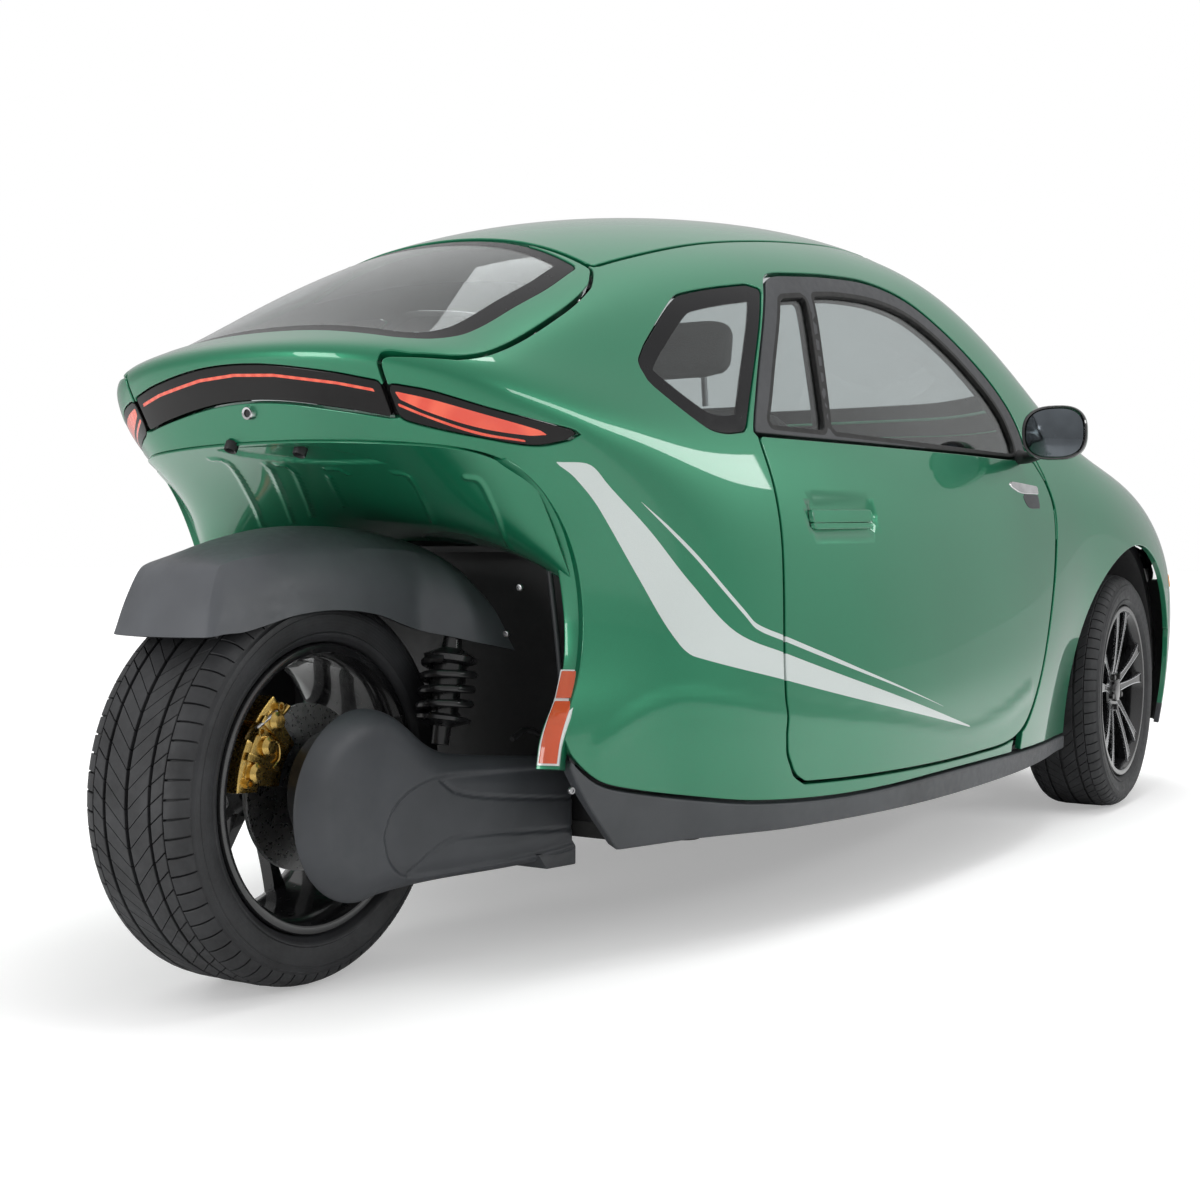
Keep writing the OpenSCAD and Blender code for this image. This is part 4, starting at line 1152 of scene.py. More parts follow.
SILL = Outline([(0, 440), (196, 414), (226, 364), (280, 323), (335, 304), (510, 270), (646, 251),
                (912, 237), (1328, 240), (1938, 236), (2250, 232), (2250, 100), (0, 100)], Plane.SIDE)
FENDER = Outline([(1990, 800), (1962, 872), (1926, 930), (2140, 968), (2290, 1250), (2980, 1250),
                  (2980, 100), (1700, 100), (1700, 264), (1798, 300), (1876, 394), (1932, 529),
                  (1980, 705)], Plane.SIDE)
HATCH = Outline([(-400, 268), (-62, 272), (-32, 322), (20, 362), (90, 378), (280, 378), (385, 364),
                 (440, 338), (440, -338), (385, -364), (280, -378), (90, -378), (20, -362), (-32, -322),
                 (-62, -272), (-400, -268)], Plane.PLAN)
REAR_GLASS = Outline([(-22, 80), (-14, 245), (12, 296), (58, 322), (112, 330), (206, 330), (305, 330),
                      (420, 318), (432, 200), (434, 0), (432, -200), (420, -318), (305, -330), (206, -330),
                      (112, -330), (58, -322), (12, -296), (-14, -245), (-22, -80)], Plane.PLAN)
ROOF = Outline([(447, 332), (596, 342), (810, 352), (995, 365), (1210, 377), (1420, 382), (1520, 400),
                (1575, 250), (1592, 0), (1575, -250), (1520, -400), (1420, -382), (1210, -377), (995, -365),
                (810, -352), (596, -342), (447, -332)], Plane.PLAN)
SCREEN = Outline(
    [(1526, 408), (1640, 436), (1760, 470), (1880, 506), (2010, 556), (2110, 598), (2160, 560), (2260, 430),
     (2330, 250), (2362, 0), (2330, -250), (2260, -430), (2160, -560), (2110, -598), (2010, -556),
     (1880, -506), (1760, -470), (1640, -436), (1526, -408), (1579, -250), (1596, 0), (1579, 250)],
    Plane.PLAN)
HOOD = Outline([(2230, 572), (2330, 430), (2392, 250), (2420, 0), (2392, -250), (2330, -430), (2230, -572),
                (2500, -584), (2800, -578), (2960, -560), (3040, -400), (3068, 0), (3040, 400), (2960, 560),
                (2800, 578), (2500, 584)], Plane.PLAN)
LAMP = Outline([(452, 700), (470, 735), (560, 748), (640, 738), (688, 700), (704, 650), (690, 622),
                (620, 628), (520, 655)], Plane.END)
LIGHT_UNIT = Outline([(-262, 957), (-190, 972), (-80, 988), (0, 992), (80, 988), (190, 972), (262, 957),
                      (262, 906), (190, 920), (80, 936), (0, 940), (-80, 936), (-190, 920), (-262, 906)],
                     Plane.END, 0.006)
LIGHT_WING = Outline([(274, 954), (334, 941), (401, 915), (436, 901), (465, 889), (450, 875), (420, 866),
                      (370, 876), (316, 890), (274, 903)], Plane.END)
UNDER_LIP = Outline([(274, 700), (274, 994), (334, 993), (400, 988), (440, 975), (480, 960), (480, 700)],
                    Plane.END)

STRIP = Outline([(-271, 700), (-271, 903), (-190, 917), (-80, 933), (0, 937), (80, 933), (190, 917),
                 (271, 903), (271, 700)], Plane.END, 0.002)
UNDER_LIGHT = Outline([(-300, 600), (-300, 902), (-190, 917), (-80, 933), (0, 937), (80, 933), (190, 917),
                       (300, 902), (300, 600)], Plane.END, 0.002)
GRILLE = Outline([(-420, 330), (-380, 265), (380, 265), (420, 330), (380, 395), (-380, 395)], Plane.END,
                 0.02)


class Band:
    """Stripe between a lower and an upper line that both run forward."""

    def __init__(self, low: Sequence[Pair], high: Sequence[Pair]) -> None:
        """Keeps smooth lines through the points, given in millimetres."""
        self.low = through(np.array(low, float) / 1000, 8)
        self.high = through(np.array(high, float) / 1000, 8)

    def lines(self, p: np.ndarray) -> tuple[np.ndarray, np.ndarray]:
        """Heights of the lower and the upper line at each point."""
        return np.interp(p[:, 0], *self.low.T), np.interp(p[:, 0], *self.high.T)

    def middle(self, p: np.ndarray) -> np.ndarray:
        """Height over the stripe's middle line."""
        low, high = self.lines(p)
        return p[:, 2] - (low + high) / 2

    def __call__(self, p: np.ndarray) -> np.ndarray:
        """Field of the stripe, below zero inside."""
        low, high = self.lines(p)
        first, last = self.low[0, 0], self.low[-1, 0]
        return np.max([p[:, 2] - high, low - p[:, 2], first - p[:, 0], p[:, 0] - last], axis=0)


def tapered(middle: Sequence[Pair], half: float) -> Band:
    """Thin stripe around a middle line, narrower towards its ends."""
    line = np.array(middle, float)
    way = np.linspace(-1, 1, len(line))
    h = half * (1.02 - np.abs(way) ** 3)
    return Band(list(zip(line[:, 0], line[:, 1] - h)), list(zip(line[:, 0], line[:, 1] + h)))


MAIN_STRIPE = Band([(179, 840), (217, 818), (275, 767), (368, 653), (442, 541), (470, 520), (678, 470),
                    (951, 412), (1414, 324)],
                   [(179, 842), (231, 839), (274, 808), (372, 734), (464, 645), (559, 560), (680, 519),
                    (945, 446), (1414, 327)])
THIN_STRIPE = tapered([(341, 784), (410, 738), (480, 685), (584, 592), (612, 568), (686, 544), (820, 504),
                       (955, 465), (1274, 378)], 5.0)
BODY = NetSurface(NET)
BELLY = NetSurface(TAIL[::-1])
FRONT_AXLE = (2.605, 0.0, 0.32)
ARCH_R = 0.40


# ---- keeping pieces ----------------------------------------------------------
def attach(piece: bpy.types.Object, body: str, slot: str | None = None, *nodes: str) -> bpy.types.Object:
    """Lets a piece ride on a body, hides the construction nodes that it replaces, and logs it.

    Args:
        piece: The finished piece.
        body: Body that it moves with.
        slot: Not used.
        nodes: Construction nodes that it replaces.

    Returns:
        The same piece.
    """
    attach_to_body(piece, body)
    if nodes:
        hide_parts(*nodes)
    log.info("%s on %s, %d faces", piece.name, body, len(piece.data.polygons))
    return piece


def upper(shape: Field, z: float) -> Field:
    """Shape only where it is higher than z."""
    return common(shape, beyond(2, z))


# ---- painted body ------------------------------------------------------------
@dataclass
class PaintedBody:
    """Fixed outer panels of the car with their stripes."""

    finish: Finishes
    wall: float = 0.014
    du: float = 1 / 14
    dv: float = 1 / 8

    def striped(self, patch: Patch) -> Patch:
        """Marks the two stripes on a side panel."""
        for band in (MAIN_STRIPE, THIN_STRIPE):
            patch.score(band.middle).mark(common(wide(beyond(1, 0.3)), band), 1)
        return patch

    def sides(self) -> None:
        """Quarters, pillars, roof rails and cowl in one shell."""
        g = GAP + ROLL
        under_lip = common(wide(grown(UNDER_LIP, -ROLL)), below(0, 0.06))
        p = Patch(BODY, (0, 13, -10, 10), self.du, self.dv)
        p.cut(common(wide(beyond(1, 0.56)), beyond(0, 2.229), beyond(2, 0.6)))
        p.cut(common(upper(grown(HATCH, g), 0.902), outside(under_lip)))
        p.cut(upper(grown(ROOF, g), 0.85))
        p.cut(upper(grown(SCREEN, g), 0.85))
        p.cut(upper(grown(HOOD, g), 0.7))
        p.cut(grown(DOOR, g)).cut(grown(FRAME, g)).cut(grown(QUARTER, 0.002 + ROLL)).cut(grown(SILL, g))
        p.cut(common(grown(FENDER, g), wide(beyond(1, 0.582))))
        p.cut(common(wide(grown(LIGHT_WING, 0.002 + ROLL)), below(0, 0.24)))
        self.striped(p)
        f = self.finish
        attach(p.shell("body_shell", [f.paint, f.stripe, f.liner], self.wall), "chassis", "body_paint",
               "body_sides")

    def roof(self) -> None:
        """Roof skin between the rails."""
        f = self.finish
        p = Patch(BODY, (5, 10.6, -4, 4), self.du, self.dv).keep(upper(grown(ROOF, -GAP - ROLL), 0.9))
        attach(p.shell("roof_skin", [f.paint, f.roof_cloth], 0.022), "chassis", "body_paint", "roof_panel")

    def fenders(self) -> None:
        """Front wings above the wheels."""
        g = GAP + ROLL
        f = self.finish
        p = Patch(BODY, (10, 16.6, -10, 10), self.du, self.dv).keep(
            common(grown(FENDER, -g), wide(beyond(1, 0.562))))
        p.cut(grown(DOOR, g)).cut(upper(grown(HOOD, g), 0.6))
        p.cut(common(wide(below(1, 0.588)), below(0, 2.235), beyond(2, 0.6))).cut(grown(SILL, g))
        p.cut(grown(disc(FRONT_AXLE, ARCH_R), ROLL)).cut(
            common(wide(grown(LAMP, 0.002 + ROLL)), beyond(0, 2.7)))
        attach(p.shell("front_wings", [f.paint, f.liner], self.wall), "chassis", "body_paint",
               "front_fenders")

    def nose(self) -> None:
        """Front bumper with its air intake."""
        g = GAP + ROLL
        f = self.finish
        p = Patch(BODY, (14, 19, -10, 10), self.du, self.dv).keep(beyond(0, 2.98 + g))
        p.cut(upper(grown(HOOD, g), 0.6)).cut(grown(disc(FRONT_AXLE, ARCH_R), ROLL))
        p.cut(common(wide(grown(LAMP, 0.002 + ROLL)), beyond(0, 2.7))).cut(
            common(grown(GRILLE, 0.002 + ROLL), beyond(0, 3.1)))
        p.mark(common(below(2, 0.255), beyond(0, 2.9)), 2)
        attach(p.shell("nose_skin", [f.paint, f.liner, f.charcoal], self.wall, inner=1), "chassis",
               "body_paint", "front_bumper")

    def hood(self) -> None:
        """Hood skin on its own hinge."""
        f = self.finish
        p = Patch(BODY, (11.5, 16.6, -6, 6), self.du, self.dv).keep(upper(grown(HOOD, -GAP - ROLL), 0.6))
        attach(p.shell("hood_skin", [f.paint, f.liner], 0.012), "hood", "body_paint", "hood")

    def sills(self) -> None:
        """Dark sills under the doors, standing a little proud."""
        f = self.finish
        p = Patch(BODY, (0, 13, -10, 10), self.du, self.dv).keep(grown(SILL, -GAP - 0.004))
        p.cut(grown(disc(FRONT_AXLE, ARCH_R), ROLL)).cut(wide(below(1, 0.42)))
        attach(p.shell("sill_skins", [f.charcoal], 0.026, lift=-0.003, roll=0.004), "chassis",
               "grey_plastic", "sills")

    def belly(self) -> None:
        """Painted underside of the tail with its pressed ribs, and the strip under the light."""
        f = self.finish
        p = Patch(BELLY, (0, 4, -4.8, 4.8), 1 / 28, 1 / 22)
        body = p.shell("tail_floor", [f.paint, f.liner], 0.010, roll=0.001)
        attach(body, "chassis", "body_paint", "tail_underside")
        q = Patch(BODY, (0, 1.5, -6, 6), 1 / 28, 1 / 12).keep(common(grown(STRIP, -GAP), below(0, 0.06)))
        attach(q.shell("lock_strip", [f.paint, f.liner], 0.010, roll=0.0015), "chassis", "body_paint")

    def tailgate(self) -> None:
        """Painted frame of the tailgate."""
        g = GAP + ROLL
        f = self.finish
        p = Patch(BODY, (0.5, 7, -6, 6), 1 / 22, 1 / 14).keep(upper(grown(HATCH, -g), 0.902))
        p.cut(upper(grown(REAR_GLASS, 0.001 + ROLL), 1.0))
        p.cut(common(wide(grown(UNDER_LIP, 2 * GAP + ROLL)), below(0, 0.06)))
        p.cut(common(grown(UNDER_LIGHT, g), below(0, 0.2)))
        p.cut(common(grown(LIGHT_UNIT, 0.002 + ROLL), below(0, 0.04)))
        attach(p.shell("tailgate_skin", [f.paint, f.liner], 0.018), "tailgate", "body_paint", "tailgate")

    def build(self) -> None:
        """Makes every painted panel."""
        self.sides()
        self.roof()
        self.fenders()
        self.nose()
        self.hood()
        self.sills()
        self.belly()
        self.tailgate()


@dataclass
class Windows:
    """Fixed glass with black printed borders."""

    finish: Finishes
    thick: float = 0.005
    lift: float = 0.003

    def pane(self, name: str, patch: Patch, border: Field, glass: bpy.types.Material, body: str,
             *nodes: str) -> None:
        """One pane with its border.

        Args:
            name: Name of the piece.
            patch: Trimmed surface of the pane.
            border: Clear part of the pane, below zero inside.
            glass: Glass material.
            body: Body that it rides on.
            nodes: Construction nodes that it replaces.
        """
        patch.mark(outside(border), 1)
        clear = patch.tagged(0).shell(name, [glass], self.thick, self.lift, 0.0)
        attach(clear, body, "clear_glass", *nodes)
        edge = patch.tagged(1).shell(
            name + "_border", [self.finish.frit], self.thick + 0.001, self.lift - 0.0002, 0.0008)
        attach(edge, body, "gloss_black")

    def build(self) -> None:
        """Makes the windshield, the quarter windows and the rear window."""
        f = self.finish
        p = Patch(BODY, (8.5, 13, -5, 5), 1 / 16, 1 / 10).keep(upper(grown(SCREEN, -0.002), 0.9))
        self.pane("windshield_glass", p, grown(SCREEN, -0.045), f.window, "chassis", "windshield")
        p = Patch(BODY, (3, 9, -7, 7), 1 / 30, 1 / 16).keep(
            common(grown(QUARTER, -0.001), wide(beyond(1, 0.2))))
        self.pane("quarter_window", p, grown(QUARTER, -0.030), f.window, "chassis", "quarter_glass")
        p = Patch(BODY, (2.5, 7, -5, 5), 1 / 24, 1 / 14).keep(upper(grown(REAR_GLASS, -0.001), 1.0))
        self.pane("rear_window", p, grown(REAR_GLASS, -0.030), f.window, "tailgate", "rear_glass")


@dataclass
class TailLights:
    """Light bar across the tail, in a middle unit and two wings."""

    finish: Finishes

    def build(self) -> None:
        """Makes the lenses and their lit bands."""
        f = self.finish
        p = Patch(BODY, (0, 4, -6, 6), 1 / 30, 1 / 20).keep(
            common(grown(LIGHT_UNIT, -0.001), below(0, 0.03)))
        p.mark(self.band(0.012, 0.0165, 0.249), 1)
        attach(p.shell("light_bar", [f.smoke, f.red, f.black], 0.012, 0.001, 0.0016), "tailgate",
               "lamp_red", "tail_lamp_centre")
        wing = Patch(BODY, (0, 4, -7, 7), 1 / 30, 1 / 20)
        wing.keep(common(wide(grown(LIGHT_WING, -0.001)), below(0, 0.24)))
        wing.mark(wide(WING_BAND), 1).mark(wide(WING_LINE), 1)
        attach(wing.shell("light_wings", [f.smoke, f.red, f.black], 0.012, 0.001, 0.0016), "chassis",
               "lamp_red", "tail_lamps_side")

    @staticmethod
    def band(high: float, low: float, reach: float) -> Field:
        """Thin line across the middle unit.

        Args:
            high: Depth of its top under the unit's top edge.
            low: Depth of its bottom.
            reach: How far it goes out.

        Returns:
            Field of the line.
        """
        def value(p: np.ndarray) -> np.ndarray:
            """Distance to the line, below zero on it."""
            y = np.abs(p[:, 1])
            top = np.interp(y, [0, 0.08, 0.19, 0.262], [0.992, 0.988, 0.972, 0.957]) - high
            bottom = top - (low - high)
            return np.max([p[:, 2] - top, bottom - p[:, 2], y - reach], axis=0)
        return value


WING_BAND = Outline([(281, 943), (334, 929), (400, 904), (432, 889), (438, 882), (420, 880), (375, 889),
                     (319, 912), (284, 931)], Plane.END, 0.003)
WING_LINE = Outline(
    [(279, 926), (319, 906), (372, 883), (415, 873), (414, 870), (370, 879), (318, 902), (279, 921)],
    Plane.END, 0.002)


@dataclass
class Door:
    """Door skin, window frame and glass of one side."""

    side: Side
    finish: Finishes
    thick: float = 0.036

    @property
    def span(self) -> tuple[float, float]:
        """Rows of the body surface on this side."""
        return (2.0, 10.0) if self.side is Side.LEFT else (-10.0, -2.0)

    def name(self, word: str) -> str:
        """Name of a piece or node on this side."""
        return f"{word}_{self.side.word}"

    def build(self) -> None:
        """Makes the door's pieces."""
        f, body = self.finish, self.name("door")
        near = one_side(self.side, 0.3)
        p = Patch(BODY, (4, 13, *self.span), 1 / 16, 1 / 9).keep(
            common(grown(DOOR, -GAP - ROLL), near, below(2, 0.9135)))
        for band in (MAIN_STRIPE, THIN_STRIPE):
            p.score(band.middle).mark(band, 1)
        attach(p.shell(self.name("door_skin"), [f.paint, f.stripe, f.trim], self.thick), body, "body_paint",
               self.name("door"))
        panes = joined(REAR_PANE, FRONT_PANE)
        rows = (2.0, 7.0) if self.side is Side.LEFT else (-7.0, -2.0)
        q = Patch(BODY, (4, 13, *rows), 1 / 18, 1 / 14).keep(
            common(grown(FRAME, -GAP - ROLL), near, beyond(2, 0.9185)))
        q.cut(grown(panes, 0.001 + ROLL)).mark(grown(panes, 0.011), 1)
        attach(q.shell(self.name("window_frame"), [f.frame_grey, f.seal, f.trim], 0.030, 0.001), body,
               "grey_plastic", self.name("door_frame"))
        g = Patch(BODY, (4, 13, *rows), 1 / 16, 1 / 12).keep(common(grown(panes, 0.003), near))
        attach(g.shell(self.name("door_window"), [f.window], 0.004, 0.009, 0.0), body, "clear_glass",
               self.name("door_glass"))


# ---- repeating parts -----------------------------------------------------------
class RingArray:
    """Geometry Nodes group that repeats a part around an axis along y."""

    def __init__(self) -> None:
        """Builds the group with its named inputs."""
        t = bpy.data.node_groups.new("ring_array", "GeometryNodeTree")
        face = t.interface
        self.ids = {}
        face.new_socket("Geometry", in_out="INPUT", socket_type="NodeSocketGeometry")
        for word, kind in (("Count", "NodeSocketInt"), ("Centre", "NodeSocketVector"),
                           ("Start", "NodeSocketFloat"), ("Material", "NodeSocketMaterial")):
            self.ids[word] = face.new_socket(word, in_out="INPUT", socket_type=kind).identifier
        face.new_socket("Geometry", in_out="OUTPUT", socket_type="NodeSocketGeometry")
        into, out = t.nodes.new("NodeGroupInput"), t.nodes.new("NodeGroupOutput")
        points = t.nodes.new("GeometryNodePoints")
        t.links.new(into.outputs["Count"], points.inputs["Count"])
        t.links.new(into.outputs["Centre"], points.inputs["Position"])
        back = t.nodes.new("ShaderNodeVectorMath")
        back.operation = "SCALE"
        back.inputs["Scale"].default_value = -1.0
        t.links.new(into.outputs["Centre"], back.inputs[0])
        move = t.nodes.new("GeometryNodeTransform")
        t.links.new(into.outputs["Geometry"], move.inputs["Geometry"])
        t.links.new(back.outputs[0], move.inputs["Translation"])
        step = t.nodes.new("ShaderNodeMath")
        step.operation = "DIVIDE"
        step.inputs[0].default_value = 2 * math.pi
        t.links.new(into.outputs["Count"], step.inputs[1])
        turn = t.nodes.new("ShaderNodeMath")
        turn.operation = "MULTIPLY_ADD"
        t.links.new(t.nodes.new("GeometryNodeInputIndex").outputs[0], turn.inputs[0])
        t.links.new(step.outputs[0], turn.inputs[1])
        t.links.new(into.outputs["Start"], turn.inputs[2])
        angles = t.nodes.new("ShaderNodeCombineXYZ")
        t.links.new(turn.outputs[0], angles.inputs["Y"])
        put = t.nodes.new("GeometryNodeInstanceOnPoints")
        t.links.new(points.outputs[0], put.inputs["Points"])
        t.links.new(move.outputs[0], put.inputs["Instance"])
        t.links.new(angles.outputs[0], put.inputs["Rotation"])
        real = t.nodes.new("GeometryNodeRealizeInstances")
        t.links.new(put.outputs[0], real.inputs["Geometry"])
        dress = t.nodes.new("GeometryNodeSetMaterial")
        t.links.new(real.outputs[0], dress.inputs["Geometry"])
        t.links.new(into.outputs["Material"], dress.inputs["Material"])
        t.links.new(dress.outputs[0], out.inputs[0])
        self.tree = t

    def around(self, part: bpy.types.Object, count: int, centre: Triple, mat: bpy.types.Material,
               start: float = 0.0) -> bpy.types.Object:
        """Repeats a part around a centre.

        Args:
            part: The part at its first place.
            count: How many there are.
            centre: Point on the axis, from the rear axle.
            mat: Material of all of them.
            start: Angle of the first, in radians.

        Returns:
            The same object with the repeated mesh.
        """
        mod = part.modifiers.new("repeat", "NODES")
        mod.node_group = self.tree
        mod[self.ids["Count"]] = count
        mod[self.ids["Centre"]] = tuple(float(v) for v in np.array(centre) + SHIFT)
        mod[self.ids["Start"]] = start
        mod[self.ids["Material"]] = mat
        part.update_tag()
        bpy.context.view_layer.update()
        done = part.evaluated_get(bpy.context.evaluated_depsgraph_get())
        mesh = bpy.data.meshes.new_from_object(done)
        part.modifiers.clear()
        part.data = mesh
        return part


# ---- wheels --------------------------------------------------------------------
@dataclass
class Tyre:
    """Tyre with tread blocks around its carcass."""

    name: str
    centre: Triple
    width: float
    side: bpy.types.Material
    tread: bpy.types.Material
    array: RingArray
    r: float = 0.32
    bead: float = 0.234
    deep: float = 0.007
    pitches: int = 68

    def crown(self, y: np.ndarray) -> np.ndarray:
        """Radius of the tread at a distance from the middle."""
        h = self.width / 2
        return np.interp(np.abs(y), [0, h - 0.050, h - 0.034, h - 0.022, h - 0.012, h - 0.006],
                         [self.r, self.r - 0.0006, self.r - 0.0030, self.r - 0.0075, self.r - 0.015,
                          self.r - 0.024])

    def carcass(self) -> bpy.types.Object:
        """Side walls and the floor of the grooves."""
        h = self.width / 2
        half = [
            (self.bead, h - 0.020), (self.bead + 0.004, h - 0.010), (self.bead + 0.010, h - 0.006),
            (self.bead + 0.013, h - 0.0025), (self.bead + 0.016, h - 0.0020),
            (self.bead + 0.018, h - 0.0045), (self.bead + 0.026, h - 0.0022),
            (self.bead + 0.036, h - 0.0006), (self.bead + 0.046, h), (self.bead + 0.0465, h - 0.0008),
            (self.bead + 0.049, h - 0.0008), (self.bead + 0.0495, h - 0.0002),
            (self.bead + 0.056, h - 0.0012), (self.r - 0.0275, h - 0.0050), (self.r - 0.0255, h - 0.0056),
            (self.r - 0.0250, h - 0.0098)]
        across = np.linspace(h - 0.0125, 0, 9)
        half += [(float(self.crown(np.array(y)) - self.deep), float(y)) for y in across]
        full = half + [(r, -y) for r, y in half[-2::-1]]
        return lathe(self.name + "_carcass", full, [self.side], self.centre, steps=120)

    def block(self, s0: float, s1: float, y0: float, y1: float, slant: float,
              flare: float = 0.0) -> list[np.ndarray]:
        """One tread block as points and faces.

        Args:
            s0: Its start along the rolling direction.
            s1: Its end.
            y0: Nearer edge from the middle.
            y1: Farther edge.
            slant: Shift along s for each metre outwards.
            flare: How much the block widens outwards.

        Returns:
            Points as arc length, side and height, then the faces.
        """
        n = 6 if abs(y1) > self.width / 2 - 0.03 else 2
        ys = np.linspace(y0, y1, n)
        away = np.abs(ys) - min(abs(y0), abs(y1))
        a, b = s0 + slant * away - flare * away, s1 + slant * away + flare * away
        loop = np.concatenate([np.column_stack([a, ys]), np.column_stack([b, ys])[::-1]])
        mid = loop.mean(0)
        tilt = np.sign(loop - mid)
        levels = [(0.0, -self.deep - 0.002), (0.0, -0.0008), (0.0008, 0.0)]
        rings = [np.column_stack([loop - tilt * inset, np.full(2 * n, h)]) for inset, h in levels]
        pts = np.concatenate(rings)
        m = 2 * n
        faces = [(k * m + i, k * m + (i + 1) % m, (k + 1) * m + (i + 1) % m, (k + 1) * m + i)
                 for k in range(2) for i in range(m)]
        top = 2 * m
        faces += [(top + i, top + i + 1, top + m - 2 - i, top + m - 1 - i) for i in range(n - 1)]
        return [pts, faces]

    def blocks(self) -> bpy.types.Object:
        """One pitch of the tread, repeated around the wheel."""
        h = self.width / 2
        pitch = 2 * math.pi * self.r / self.pitches
        slot = 0.0019
        groove = h * 0.42
        rows = []
        for sign in (1, -1):
            rows.append(self.block(0, pitch - slot, sign * 0.0036, sign * (groove - 0.0030), 0.95))
            rows.append(self.block(0.012, pitch - slot + 0.012, sign * (groove + 0.0030),
                                   sign * (groove + 0.0250), 0.80))
            rows.append(self.block(0.020, pitch - slot * 1.6 + 0.020, sign * (groove + 0.0268),
                                   sign * (h - 0.0060), 0.12))
        points, faces, start = [], [], 0
        for pts, own in rows:
            s, y, up = pts.T
            r = self.crown(y) + up
            ang = s / self.r
            points.append(np.column_stack([r * np.sin(ang), y, r * np.cos(ang)]) + np.array(self.centre))
            faces += [tuple(start + i for i in f) for f in own]
            start += len(pts)
        part = tidy(solid(self.name + "_blocks", np.concatenate(points), faces, [self.tread]), 1e-7, 28)
        return self.array.around(part, self.pitches, self.centre, self.tread)

    def build(self, body: str, *nodes: str) -> None:
        """Makes the tyre and hands it to its wheel."""
        attach(self.carcass(), body, "tyre", *nodes)
        attach(self.blocks(), body, "tyre")


